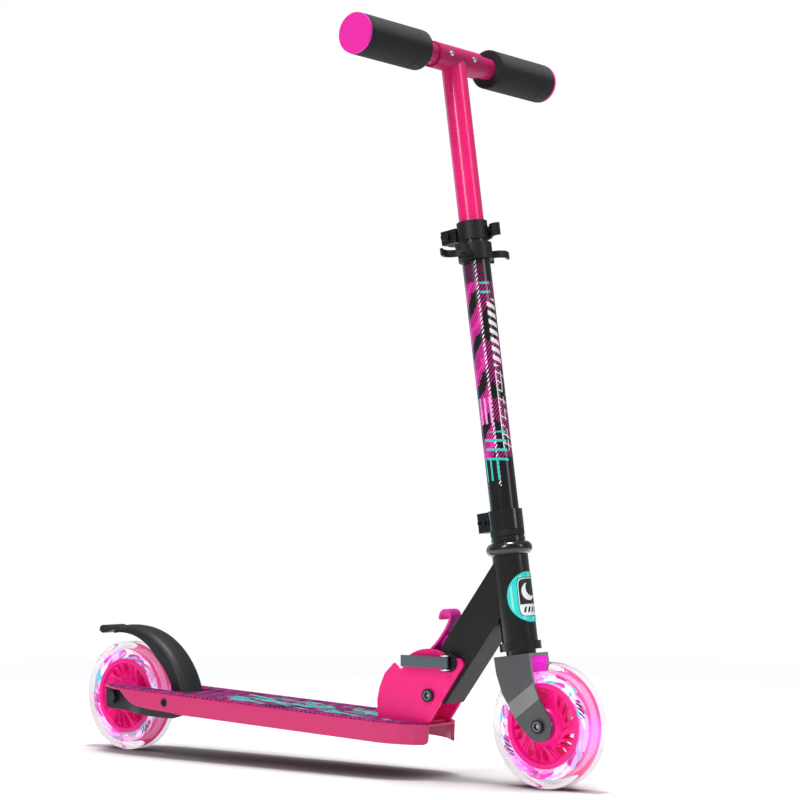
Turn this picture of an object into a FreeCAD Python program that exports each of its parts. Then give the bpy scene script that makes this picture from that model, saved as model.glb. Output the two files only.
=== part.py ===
"""A child's folding two-wheeled kick scooter, one STEP solid group per piece.

Frame: +X is the riding direction, +Y the rider's left, +Z up. The origin lies on the ground
under the middle of the wheelbase. All sizes are in millimetres and degrees.
"""
import FreeCAD, Part
import math
import os

V = FreeCAD.Vector
Y_AXIS = V(0, 1, 0)

# ---- overall sizes -------------------------------------------------------------------
WHEELBASE = 567.0            # axle to axle
WHEEL_R = 60.0               # outer radius of both wheels
LEAN = 7.9                   # steering axis, degrees back from upright
FORK_OFFSET = 22.8           # front axle ahead of the steering axis
DECK_TOP_Z = 60.8            # deck top above ground, at mid wheelbase
DECK_RISE = 2.43             # degrees the deck rises towards the rear
BAR_HEIGHT = 669.3           # crossbar centre above axle level, along the steering axis
BAR_WIDTH = 310.0            # over both grips

# ---- clearances ----------------------------------------------------------------------
RUN = 0.05                   # radial running fit of a shaft
GAP = 0.3                    # between faces of pieces that move past each other

# ---- wheels --------------------------------------------------------------------------
TYRE_W = 24.0
TREAD_HALF_W = 7.0           # half the flat of the tread
TREAD_ROUND = 4.6            # where the side starts to round off, in from the tread
CORE_R = WHEEL_R - 19.0      # hub core, where the tyre is cast on
BAND_R = WHEEL_R - 8.5       # printed band buried in the clear tyre
BAND_W = 18.0
RIM_R = CORE_R - 5.0         # inner radius of the core's rim
HUB_R = 16.0                 # boss round the bearings
HUB_W = 25.0
WINDOWS = 10
WINDOW_IN_R = 21.5
WINDOW_OUT_R = RIM_R - 2.0
WINDOW_SKEW = 10.0           # degrees from the inner to the outer end
WINDOW_HALF_IN = 6.0         # half width in degrees, inner end
WINDOW_HALF_OUT = 9.5
RIM_HALF_W = 11.5
WEB_HALF_IN = 5.0
WEB_HALF_OUT = 6.5
AXLE_R = 4.0
BEARING_R = 11.0
BEARING_W = 7.0
SLEEVE_R = 6.0

# ---- fasteners -----------------------------------------------------------------------
HEAD_R = 6.5
HEAD_H = 3.3
SOCKET_R = 2.6
WASHER_R = 7.0
HEX_FLATS = 13.0
HEX_H = 5.5
NUT_FLATS = 13.0
NUT_H = 6.0
LEVER_PIN_R = 1.5            # pin of either clamp lever

# ---- deck ----------------------------------------------------------------------------
DECK_HALF_W = 47.5
DECK_T = 2.0
DECK_H = 20.0                # depth of the side flanges
DECK_NOSE_BEHIND = 129.5     # nose of the deck behind the front axle
DECK_NOSE_HALF_W = 22.0
DECK_FRONT_GAP = 41.0        # opening in the front flange
TAIL_PAST_AXLE = 11.0        # deck arms reach this far behind the rear axle
TAIL_HALF_W = 31.0
TAIL_TAPER = 62.0            # length over which the arms narrow
SLOT_HALF_W = 19.5           # slot for rear wheel and fender
SLOT_PAST_PIVOT = 6.5        # slot starts this far ahead of the fender pivot
DECK_CORNER_R = 6.0          # lower corners of the front flange ends
GRIP_INSET = 2.2
GRIP_T = 0.8

# ---- rear dropouts -------------------------------------------------------------------
DROPOUT_T = 2.8
DROPOUT_OUT = 28.0           # outer face at the axle
DROPOUT_AHEAD = 124.0        # reach ahead of the axle
DROPOUT_BEHIND = 12.0
DROPOUT_BELOW = 13.5         # lower edge below the axle
DROPOUT_BEND = 15.0          # the plate starts to bend out this far ahead of the axle
DROPOUT_BEND_L = 49.0
FLANGE_GAP = 0.2             # dropout to the inner face of the flange

# ---- fender brake --------------------------------------------------------------------
FENDER_PIVOT_AHEAD = 97.0    # ahead of the rear axle
FENDER_PIVOT_UP = -0.4
FENDER_R = 97.6              # crown of the arch
FENDER_HALF_W = 17.0
FENDER_T = 2.8
FENDER_SKIRT = 9.6           # crown above the straight skirt
FENDER_CLEAR = 10.5          # skirt to tyre at rest
FENDER_BOLT_R = 3.0
FENDER_BOSS_R = 6.0
FENDER_FOOT_ANGLE = 13.0     # arch starts this far above level
FENDER_ARC = 88.0
FENDER_CENTRE_AHEAD = 5.2    # arch centre ahead of and below the rear axle
FENDER_CENTRE_BELOW = 18.6
SPRING_WIRE_R = 0.7
SPRING_COILS = 6

# ---- folding joint -------------------------------------------------------------------
PIVOT_BEHIND = 131.5         # fold pivot behind the front axle
PIVOT_UP = 28.5              # above the deck top
TUBE_ANGLE = 52.5            # down tube from horizontal
TUBE_D = 38.0                # section in the fold plane
TUBE_W = 30.0
TUBE_T = 2.0
PLATE_T = 3.0
PLATE_GAP = 0.5              # tube side to plate
DOME_R = 46.0
NOTCH_DROP = 4.5             # how far the latch pin drops into a notch
FOLD_ANGLE = 78.0
PIN_R = 2.0
LATCH_HUB_R = 9.0
LATCH_HUB_BACK = 5.9         # hub centre towards the pivot from the pin
LATCH_HUB_T = 2.4
LATCH_SEAT = 0.5             # hub and nut off the plates
LATCH_BARREL_R = 3.6
LATCH_NUT_R = 7.0
LATCH_NUT_L = 5.0
EAR_R = 3.4
EAR_T = 1.6
LATCH_LEVER_L = 54.0
LATCH_LEVER_H = 11.2
HOOK_W = 17.0
HOOK_T = 2.5
HOOK_STAND = 9.2             # strip behind the tube's rear face
TUBE_FOOT_BELOW = 7.6        # flat foot of the down tube below the pivot

# ---- head tube and steering ----------------------------------------------------------
HEAD_TUBE_R = 17.5
HEAD_TUBE_IN_R = 15.9
HEAD_FOOT = 82.0             # heights are above axle level, along the steering axis
HEAD_TOP = 166.5
STEERER_R = 12.5
STEERER_WALL = 2.0
STEERER_CLEAR = 1.2          # steerer to the cups
UPPER_SEAT = 3.0             # upper ball track above the head tube
CUP_R = 20.3
CUP_H = 8.0
TORUS_R = 6.4
TORUS_MEAN_R = 16.1
CUP_SPIGOT = 8.0
BALL_R = 1.6
BALLS = 16
CROWN_TOP = 70.0
CROWN_T = 3.4
CROWN_BACK = -21.6
CROWN_FRONT = 20.0
BLADE_TURN = 28.3            # degrees the blades' crank leans forward
BLADE_CRANK_HI = 26.6        # along the blade, where it starts to crank out
BLADE_CRANK_LO = 10.0
BLADE_T = 2.8
BLADE_OUT_HI = 16.2
BLADE_OUT_LO = 18.2
BLADE_END_R = 14.8
RACE_R = 14.5
COLLAR_TOP = 211.0
COLLAR_FOOT = 191.6
COLLAR_R = 16.9
COLLAR_BOLT_X = -22.6
COLLAR_BOLT_R = 2.5
LUG_HALF_W = 8.5
OUTER_R = 14.0
OUTER_TOP = 500.4
CLAMP_FOOT = 481.5
CLAMP_R = 15.4
CLAMP_BOLT_X = -26.0
CLAMP_BOLT_R = 2.5
CLAMP_EAR_HALF_W = 9.0
CLAMP_NUT_L = 4.2
CLAMP_WASHER_T = 2.0
CAM_R = 3.8                  # cam barrel of the height lever
YOKE_Y = CLAMP_EAR_HALF_W + CLAMP_WASHER_T + GAP + CAM_R
HEIGHT_LEVER_HALF_H = 6.3
HEIGHT_LEVER_IN_R = 17.4     # inner face of the lever where it wraps round the clamp
HEIGHT_LEVER_T = 2.4
CLIP_FOOT = 461.0
CLIP_TOP = 478.0
CLIP_R = 17.3
STORED_BAR_GAP = 0.6
CLIP_WALL = 2.6
CLIP_LIP_R = 1.6

# ---- handlebar -----------------------------------------------------------------------
T_TUBE_R = 12.5
T_TUBE_WALL = 1.5
T_TUBE_FOOT = 362.0
SLEEVE_OUT_R = 13.2
SLEEVE_HALF_L = 36.0
BAR_R = 11.0
BAR_WALL = 1.8
BAR_INNER_END = 6.0
GRIP_R = 20.2
GRIP_INNER_END = 58.0
CAP_T = 2.5
CAP_R = 19.8
BUTTON_R = 3.0
BUTTON_Y = 19.0
BUTTON_OUT = 1.9
BUTTON_TRAVEL = 3.0

# ---- derived places ------------------------------------------------------------------
PIVOT_X = WHEELBASE / 2 - PIVOT_BEHIND
DECK_NOSE_X = WHEELBASE / 2 - DECK_NOSE_BEHIND
REAR_AXLE = V(-WHEELBASE / 2, 0, WHEEL_R)
FRONT_AXLE = V(WHEELBASE / 2, 0, WHEEL_R)
DECK = FreeCAD.Placement(V(0, 0, DECK_TOP_Z), FreeCAD.Rotation(Y_AXIS, DECK_RISE))
LEAN_TURN = FreeCAD.Rotation(Y_AXIS, -LEAN)
COLUMN = FreeCAD.Placement(FRONT_AXLE - LEAN_TURN.multVec(V(FORK_OFFSET, 0, 0)), LEAN_TURN)
DECK_SLOPE = math.tan(math.radians(DECK_RISE))


def deck_z(x):
    """Height of the deck's top plane above ground at x."""
    return DECK_TOP_Z - DECK_SLOPE * x


PIVOT = V(PIVOT_X, 0, deck_z(PIVOT_X) + PIVOT_UP)
TUBE = FreeCAD.Placement(PIVOT, FreeCAD.Rotation(Y_AXIS, -TUBE_ANGLE))
FENDER_PIVOT = REAR_AXLE + V(FENDER_PIVOT_AHEAD, 0, FENDER_PIVOT_UP)
PLATE_IN = TUBE_W / 2 + PLATE_GAP
PLATE_OUT = PLATE_IN + PLATE_T
PIN_AT = DOME_R + GAP + PIN_R            # pin centre from the pivot, along the tube
HUB_AT = PIN_AT - LATCH_HUB_BACK


# ---- shape helpers -------------------------------------------------------------------
def box(x0, x1, y0, y1, z0, z1):
    """A box between two corners."""
    return Part.makeBox(x1 - x0, y1 - y0, z1 - z0, V(x0, y0, z0))


def rod(radius, low, high, axis="z", at=(0, 0)):
    """A cylinder along an axis from low to high; at is its place across the axis."""
    a, b = at
    if axis == "x":
        return Part.makeCylinder(radius, high - low, V(low, a, b), V(1, 0, 0))
    if axis == "y":
        return Part.makeCylinder(radius, high - low, V(a, low, b), Y_AXIS)
    return Part.makeCylinder(radius, high - low, V(a, b, low), V(0, 0, 1))


def tube(outer, inner, low, high, axis="z", at=(0, 0)):
    """A round tube along an axis."""
    return rod(outer, low, high, axis, at).cut(rod(inner, low - 1, high + 1, axis, at))


def polygon_y(points, y0, y1):
    """A flat outline in the x-z plane, extruded from y0 to y1."""
    wire = Part.makePolygon([V(x, y0, z) for x, z in points] + [V(points[0][0], y0, points[0][1])])
    return Part.Face(wire).extrude(V(0, y1 - y0, 0))


def polygon_z(points, z0, z1):
    """A flat outline in the x-y plane, extruded from z0 to z1."""
    wire = Part.makePolygon([V(x, y, z0) for x, y in points] + [V(points[0][0], points[0][1], z0)])
    return Part.Face(wire).extrude(V(0, 0, z1 - z0))


def spun(points, centre):
    """A ring from a section of (radius, y) points, turned about an axis along Y at centre."""
    ring = [V(centre.x + r, centre.y + y, centre.z) for r, y in points]
    return Part.Face(Part.makePolygon(ring + [ring[0]])).revolve(centre, V(0, -1, 0), 360.0)


def through(points):
    """A smooth curve through points."""
    curve = Part.BSplineCurve()
    curve.interpolate(points)
    return curve.toShape()


def smooth_slab(points, y0, y1):
    """A closed smooth outline in the x-z plane, extruded from y0 to y1."""
    curve = Part.BSplineCurve()
    curve.interpolate([V(x, y0, z) for x, z in points], PeriodicFlag=True)
    return Part.Face(Part.Wire(curve.toShape())).extrude(V(0, y1 - y0, 0))


def hexagon(flats, y0, y1, at):
    """A hexagonal prism along Y."""
    reach = flats / math.sqrt(3)
    turns = [math.radians(60 * i) for i in range(6)]
    corners = [(at.x + reach * math.cos(t), at.z + reach * math.sin(t)) for t in turns]
    return polygon_y(corners, y0, y1)


def fused(*shapes):
    """One solid from touching shapes."""
    whole = shapes[0].multiFuse(list(shapes[1:])) if len(shapes) > 1 else shapes[0]
    return whole.removeSplitter()


def cut(shape, *tools):
    """The shape with the tools cut away."""
    for tool in tools:
        shape = shape.cut(tool)
    return shape


def both_sides(shape):
    """The shape and its mirror image across the middle plane."""
    return [shape, shape.mirror(V(0, 0, 0), Y_AXIS)]


def placed(shape, placement):
    """A copy of a shape modelled in a local frame, put where it belongs."""
    moved = shape.copy()
    moved.Placement = placement.multiply(moved.Placement)
    return moved


def bolt_y(radius, head_at, end_at, at, head_r=HEAD_R, head_h=HEAD_H):
    """A socket-head bolt along Y whose head sits outside head_at, its shank ending at end_at."""
    side = 1 if head_at > 0 else -1
    face = head_at + side * head_h
    shank = rod(radius, min(head_at, end_at), max(head_at, end_at), "y", (at.x, at.z))
    head = rod(head_r, min(head_at, face), max(head_at, face), "y", (at.x, at.z))
    socket = rod(SOCKET_R, min(face, face - side * 2.0), max(face, face - side * 2.0), "y", (at.x, at.z))
    return cut(fused(shank, head), socket)


def hex_bolt_y(radius, head_at, end_at, at):
    """A hexagon-head bolt along Y with its head on the right side."""
    shank = rod(radius, head_at, end_at, "y", (at.x, at.z))
    collar = rod(HEX_FLATS / 2 + 1.2, head_at - 1.0, head_at, "y", (at.x, at.z))
    return fused(shank, collar, hexagon(HEX_FLATS, head_at - HEX_H, head_at - 1.0, at))


def nut_y(radius, y0, at, flats=NUT_FLATS, height=NUT_H):
    """A hexagon nut along Y from y0 outwards on the left side."""
    return hexagon(flats, y0, y0 + height, at).cut(rod(radius, y0 - 1, y0 + height + 1, "y", (at.x, at.z)))


# ---- wheels --------------------------------------------------------------------------
def wheel_core(axle):
    """The moulded hub core: boss, curved windowed web and rim."""
    half = HUB_W / 2
    face = [(BEARING_R, half), (HUB_R, half), (HUB_R + 3, WEB_HALF_IN), (RIM_R - 2, WEB_HALF_OUT),
            (RIM_R, RIM_HALF_W), (CORE_R, RIM_HALF_W)]
    section = [(r, -y) for r, y in face] + list(reversed(face))
    core = spun(section, axle)
    for i in range(WINDOWS):
        turn = math.radians(360.0 * i / WINDOWS)
        skew = math.radians(WINDOW_SKEW)
        inner = math.radians(WINDOW_HALF_IN)
        outer = math.radians(WINDOW_HALF_OUT)
        corners = [(WINDOW_IN_R, turn - inner), (WINDOW_OUT_R, turn + skew - outer),
                   (WINDOW_OUT_R, turn + skew + outer), (WINDOW_IN_R, turn + inner)]
        points = [(axle.x + r * math.cos(t), axle.z + r * math.sin(t)) for r, t in corners]
        core = core.cut(polygon_y(points, -15, 15))
    return core


def wheel_tyre(axle):
    """The clear tyre, cast round the band with a rounded tread."""
    half = TYRE_W / 2
    side = WHEEL_R - TREAD_ROUND
    shoulder = WHEEL_R - 1.2
    right = [(BAND_R, -BAND_W / 2), (CORE_R, -BAND_W / 2), (CORE_R, -RIM_HALF_W), (CORE_R + 2, -half),
             (side, -half), (shoulder, -half + 2.0), (WHEEL_R, -TREAD_HALF_W)]
    return spun(right + [(r, -y) for r, y in reversed(right)], axle)


def wheel_pieces(name, axle):
    """The pieces of one wheel; the light ring is moulded on the sleeve between its bearings."""
    inner = HUB_W / 2 - BEARING_W
    at = (axle.x, axle.z)
    bearing = tube(BEARING_R, AXLE_R + RUN, inner, HUB_W / 2, "y", at)
    sleeve = tube(SLEEVE_R, AXLE_R + RUN, -inner, inner, "y", at)
    lamp = tube(BEARING_R, SLEEVE_R - 0.5, -inner + 0.5, inner - 0.5, "y", at)
    return {
        name + "_tyre": [wheel_tyre(axle)],
        name + "_print_band": [tube(BAND_R, CORE_R, -BAND_W / 2, BAND_W / 2, "y", (axle.x, axle.z))],
        name + "_wheel_core": [wheel_core(axle)],
        name + "_bearings": both_sides(bearing),
        name + "_light_sleeve": [fused(sleeve, lamp)],
    }


# ---- deck ----------------------------------------------------------------------------
def deck_outline(inset):
    """Plan of the deck in its own frame, drawn in by inset; nose first, then round to the left."""
    tail = -WHEELBASE / 2 - TAIL_PAST_AXLE
    half = DECK_HALF_W - inset
    nose = DECK_NOSE_X - inset
    right = [(nose, DECK_NOSE_HALF_W - 1.5 * inset), (nose - 8, DECK_NOSE_HALF_W + 11 - 1.2 * inset),
             (nose - 21, half - 6.3), (nose - 32, half - 2.0), (nose - 45, half),
             (tail + TAIL_TAPER, half), (tail + TAIL_TAPER * 0.45, half - 3.5),
             (tail + TAIL_TAPER * 0.15, TAIL_HALF_W + 5 - inset), (tail + inset, TAIL_HALF_W - inset)]
    return right + [(x, -y) for x, y in reversed(right)]


def wheel_slot(low, high):
    """The slot at the tail for wheel and fender."""
    start = FENDER_PIVOT.x + SLOT_PAST_PIVOT
    return fused(box(-WHEELBASE, start - SLOT_HALF_W / 2, -SLOT_HALF_W, SLOT_HALF_W, low, high),
                 box(start - SLOT_HALF_W, start, -SLOT_HALF_W, SLOT_HALF_W, low, high))


def tail_cut():
    """What is cut from the flanges so that their lower edge sweeps up to the tail."""
    x = REAR_AXLE.x
    z = WHEEL_R
    sweep = [(121.7, -13.0), (102, -10.4), (79, -9.0), (60, -6.9), (44, -2.6), (34.6, 3.1), (26, 10.4),
             (20, 17)]
    edge = [V(x + px, -80, z + pz) for px, pz in sweep]
    round_it = [edge[-1], V(x + 20, -80, z + 40), V(x - 40, -80, z + 40), V(x - 40, -80, z - 60),
                V(x + 130, -80, z - 60), edge[0]]
    lines = [Part.makeLine(a, b) for a, b in zip(round_it, round_it[1:])]
    below = Part.Face(Part.Wire([through(edge)] + lines)).extrude(V(0, 160, 0))
    keep = polygon_z(deck_outline(-5), -DECK_T, 5)
    return cut(below, placed(keep, DECK))


def deck_pan():
    """The pressed deck: a flat top with side flanges that turn in round the nose."""
    whole = polygon_z(deck_outline(0), -DECK_H, 0)
    hollow = polygon_z(deck_outline(DECK_T), -DECK_H - 1, -DECK_T)
    edge = DECK_FRONT_GAP / 2
    nose = box(DECK_NOSE_X - 30, DECK_NOSE_X + 5, -edge, edge, -DECK_H - 1, -DECK_T)
    tail = box(-WHEELBASE, -WHEELBASE / 2 + 10, -DECK_HALF_W, DECK_HALF_W, -DECK_H - 1, -DECK_T)
    pan = cut(whole, hollow, nose, tail)
    r = DECK_CORNER_R
    corner = box(DECK_NOSE_X - 30, DECK_NOSE_X + 5, edge - 1, edge + r, -DECK_H - 1, -DECK_H + r)
    corner = corner.cut(rod(r, DECK_NOSE_X - 31, DECK_NOSE_X + 6, "x", (edge + r, -DECK_H + r)))
    pan = cut(pan, *both_sides(corner))
    pan = cut(placed(pan, DECK), tail_cut(), placed(wheel_slot(-DECK_H - 5, 5), DECK))
    at = (FENDER_PIVOT.x, FENDER_PIVOT.z)
    return pan.cut(rod(HEAD_R - 1.6, -DECK_HALF_W - 1, DECK_HALF_W + 1, "y", at))


def deck_grip():
    """The printed non-slip sheet on top, cut out round the folding bracket."""
    sheet = polygon_z(deck_outline(GRIP_INSET), 0, GRIP_T)
    slot = wheel_slot(-1, 2)
    rim = SLOT_HALF_W + 1
    slot = fused(slot, box(-WHEELBASE, FENDER_PIVOT.x + SLOT_PAST_PIVOT + 1, -rim, rim, -1, 2))
    bracket = box(PIVOT_X - 68, DECK_NOSE_X + 5, -PLATE_OUT - 0.5, PLATE_OUT + 0.5, -1, 2)
    return placed(cut(sheet, slot, bracket), DECK)


def plate_outline():
    """One side plate in the fold plane, from the pivot: straight front, dome, two latch notches."""
    def dome(angle):
        return (DOME_R * math.cos(math.radians(angle)), DOME_R * math.sin(math.radians(angle)))

    front = math.radians(TUBE_ANGLE)
    rear = math.radians(TUBE_ANGLE + FOLD_ANGLE)
    deep = PIN_AT - NOTCH_DROP - PIN_R - GAP
    wide = PIN_R + GAP

    def notch(angle, along, across):
        ahead = math.cos(angle)
        up = math.sin(angle)
        return (along * ahead - across * up, along * up + across * ahead)

    foot = -PIVOT_UP
    rear_edge = TUBE_ANGLE + FOLD_ANGLE - math.degrees(math.asin(wide / DOME_R))
    points = [(-1.5, foot), (42.5, 31.5), (38.8, 37.4), notch(front, PIN_AT + 1.5, -wide),
              notch(front, deep, -wide), notch(front, deep, wide), notch(front, DOME_R - 0.3, wide)]
    points += [dome(62 + i * (rear_edge - 62) / 16) for i in range(17)]
    points += [notch(rear, deep, -wide), notch(rear, deep, wide), (-36.8, 23.6), (-44.5, 30.3), (-56.1, 19.5),
               (-62.6, 5.9), (-65.8, -7.3), (-65.2, foot + 2.0), (-65.2, foot)]
    return points


def fold_bracket():
    """Two side plates on a web that is welded to the deck."""
    points = [(PIVOT.x + x, PIVOT.z + z) for x, z in plate_outline()]
    plates = [polygon_y(points, PLATE_IN, PLATE_OUT), polygon_y(points, -PLATE_OUT, -PLATE_IN)]
    reach = 64.0
    web = box(PIVOT_X - reach, PIVOT_X - 4.0, -PLATE_IN, PLATE_IN, 0, 2.5)
    above = box(PIVOT_X - 90, PIVOT_X + 80, -40, 40, 0, 100)
    plates = [plate.common(placed(above, DECK)) for plate in plates]
    whole = fused(plates[0], placed(web, DECK), plates[1])
    return whole.cut(rod(AXLE_R + RUN, -30, 30, "y", (PIVOT.x, PIVOT.z)))


def fold_pivot_pieces():
    """The fold bolt and the two thin washers beside the tube."""
    at = (PIVOT.x, PIVOT.z)
    washer = tube(WASHER_R, AXLE_R + RUN, TUBE_W / 2 + 0.05, PLATE_IN - 0.05, "y", at)
    return {
        "fold_bolt": [bolt_y(AXLE_R, -PLATE_OUT, PLATE_OUT + NUT_H, PIVOT)],
        "fold_washers": both_sides(washer),
    }


def dropout():
    """The left rear dropout plate: wide along the flange, then bent in to the wheel."""
    x = REAR_AXLE.x
    z = REAR_AXLE.z
    out = DECK_HALF_W - DECK_T - FLANGE_GAP
    back = x - DROPOUT_BEHIND
    bend = [V(x + DROPOUT_BEND + DROPOUT_BEND_L * i / 8,
              DROPOUT_OUT + (out - DROPOUT_OUT) * (1 - math.cos(math.pi * i / 8)) / 2, 0) for i in range(9)]
    in_bend = [p + V(DROPOUT_T * 0.3 * math.sin(math.pi * i / 8), -DROPOUT_T, 0) for i, p in enumerate(bend)]
    ends = [V(x + DROPOUT_AHEAD, out, 0), V(x + DROPOUT_AHEAD, out - DROPOUT_T, 0),
            V(back, DROPOUT_OUT - DROPOUT_T, 0), V(back, DROPOUT_OUT, 0)]
    plan = Part.Wire([through(bend), Part.makeLine(bend[-1], ends[0]), Part.makeLine(ends[0], ends[1]),
                      Part.makeLine(ends[1], in_bend[-1]), through(in_bend[::-1]),
                      Part.makeLine(in_bend[0], ends[2]), Part.makeLine(ends[2], ends[3]),
                      Part.makeLine(ends[3], bend[0])])
    plan = Part.Face(plan).extrude(V(0, 0, 120))
    low = z - DROPOUT_BELOW
    side = [(back, z + 30), (back, low + 4), (back + 4, low + 0.5), (x + 27, low - 0.6), (x + 60, low - 2.2),
            (x + 92, low - 3.6), (x + 108, low - 3.4), (x + DROPOUT_AHEAD, low + 1.0), (x + DROPOUT_AHEAD, z + 30)]
    plate = plan.common(polygon_y(side, 0, 80))
    under_deck = box(-WHEELBASE, WHEELBASE, -80, 80, -DECK_T - 0.1, 60)
    plate = plate.cut(placed(under_deck, DECK))
    plate = plate.cut(rod(AXLE_R + RUN, 0, 60, "y", (x, z)))
    return plate.cut(rod(FENDER_BOLT_R + RUN, 0, 60, "y", (FENDER_PIVOT.x, FENDER_PIVOT.z)))


def rear_axle_pieces():
    """Rear axle bolt, the pair of long spacers, and the two nuts of the deck: axle and fold bolt."""
    inner = DROPOUT_OUT - DROPOUT_T
    spacer = tube(7.0, AXLE_R + RUN, HUB_W / 2 + 0.15, inner, "y", (REAR_AXLE.x, REAR_AXLE.z))
    return {
        "rear_axle_bolt": [hex_bolt_y(AXLE_R, -DROPOUT_OUT, DROPOUT_OUT + NUT_H, REAR_AXLE)],
        "deck_nuts": [nut_y(AXLE_R, DROPOUT_OUT, REAR_AXLE), nut_y(AXLE_R, PLATE_OUT, PIVOT)],
        "rear_axle_spacers": both_sides(spacer),
    }


# ---- fender brake --------------------------------------------------------------------
def fender_section(centre, half, crown, low):
    """Half-round section of the fender with straight skirts, in the x-y plane beside its arch centre."""
    skirt = crown - FENDER_SKIRT
    rise = [(skirt, -1.0), (skirt + 0.46 * FENDER_SKIRT, -0.95), (skirt + 0.77 * FENDER_SKIRT, -0.77),
            (skirt + 0.94 * FENDER_SKIRT, -0.42), (crown, 0.0)]
    rise += [(r, -share) for r, share in reversed(rise[:-1])]
    bend = [V(centre.x + r, share * half, centre.z) for r, share in rise]
    feet = [V(centre.x + low, half, centre.z), V(centre.x + low, -half, centre.z)]
    sides = [Part.makeLine(bend[-1], feet[0]), Part.makeLine(feet[0], feet[1]), Part.makeLine(feet[1], bend[0])]
    return Part.Face(Part.Wire([through(bend)] + sides))


def fender():
    """The sprung rear fender: an arched guard that is trodden down on to the wheel."""
    x = REAR_AXLE.x
    z = REAR_AXLE.z
    centre = V(x + FENDER_CENTRE_AHEAD, 0, z - FENDER_CENTRE_BELOW)
    low = FENDER_R - 17.6
    parts = []
    t = FENDER_T
    for half, crown, foot in ((FENDER_HALF_W, FENDER_R, low), (FENDER_HALF_W - t, FENDER_R - t, low - 1)):
        face = fender_section(centre, half, crown, foot)
        face.rotate(centre, Y_AXIS, -FENDER_FOOT_ANGLE)
        parts.append(face.revolve(centre, V(0, -1, 0), FENDER_ARC))
    guard = parts[0].cut(parts[1]).cut(rod(WHEEL_R + FENDER_CLEAR, -30, 30, "y", (x, z)))
    side = FENDER_HALF_W - 1.6
    tongue = [(-6, 76.6), (-14, 76.9), (-22, 75.9), (-30, 77.9), (-35.5, 76.2), (-36.6, 72.4),
              (-33, 69.2), (-27.5, 69.4), (-21, 71.2), (-13, 73.4), (-5, 74.2)]
    tip = smooth_slab([(x + px, z + pz) for px, pz in tongue], -side, side)
    at = (FENDER_PIVOT.x, FENDER_PIVOT.z)
    guard = fused(guard, tip, rod(FENDER_BOSS_R, -FENDER_HALF_W, FENDER_HALF_W, "y", at))
    return guard.cut(rod(FENDER_BOLT_R + RUN, -40, 40, "y", at))


def fender_pivot_pieces():
    """The fender's pivot, a shaft with a screw head at each end, and the torsion spring round it."""
    seat = DECK_HALF_W - DECK_T - FLANGE_GAP
    at = (FENDER_PIVOT.x, FENDER_PIVOT.z)
    coils = []
    wire = SPRING_WIRE_R
    mean = FENDER_BOLT_R + wire + 0.4
    for i in range(SPRING_COILS):
        y = FENDER_HALF_W + 1.4 + 1.8 * wire * i
        coils.append(Part.makeTorus(mean, wire, V(at[0], y, at[1]), Y_AXIS))
    spring = fused(*coils)
    bolt = fused(bolt_y(FENDER_BOLT_R, -seat, 0, FENDER_PIVOT, HEAD_R - 2.1, 1.9),
                 bolt_y(FENDER_BOLT_R, seat, 0, FENDER_PIVOT, HEAD_R - 2.1, 1.9))
    return {"fender_bolt": [bolt], "fender_spring": [spring]}


# ---- neck ----------------------------------------------------------------------------
def column_space(radius, low, high):
    """A cylinder on the steering axis, in the world frame."""
    return placed(rod(radius, low, high), COLUMN)


def down_tube():
    """The box tube from the fold pivot to the head tube, slotted for the latch."""
    foot = COLUMN.inverse().multVec(PIVOT)
    reach = -foot.x / math.cos(math.radians(90.0 - TUBE_ANGLE - LEAN)) + TUBE_D
    half = TUBE_D / 2
    w = TUBE_W / 2
    outer = fused(box(0, reach, -w, w, -half, half), rod(half, -w, w, "y"))
    t = TUBE_T
    inner = fused(box(0, reach + 5, -w + t, w - t, -half + t, half - t), rod(half - t, -w + t, w - t, "y"))
    slot_in = PIN_AT - NOTCH_DROP - PIN_R - GAP
    slot = box(slot_in, PIN_AT + PIN_R + RUN, -w - 1, w + 1, -PIN_R - RUN, PIN_R + RUN)
    stem = box(PIN_AT - NOTCH_DROP - 8.5, PIN_AT + 7.5, -HOOK_W / 4 - 1, HOOK_W / 4 + 1, half - t - 1, half + 1)
    bore = rod(AXLE_R + RUN, -w - 1, w + 1, "y")
    local = cut(outer, inner, slot, stem, bore)
    ahead = placed(box(0, 90, -60, 60, HEAD_FOOT - 90, HEAD_TOP + 90), COLUMN)
    below = box(PIVOT.x - TUBE_D, PIVOT.x + TUBE_D, -TUBE_W, TUBE_W, 0, PIVOT.z - TUBE_FOOT_BELOW)
    return cut(placed(local, TUBE), below, ahead, column_space(HEAD_TUBE_R, HEAD_FOOT - 60, HEAD_TOP + 60))


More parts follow.
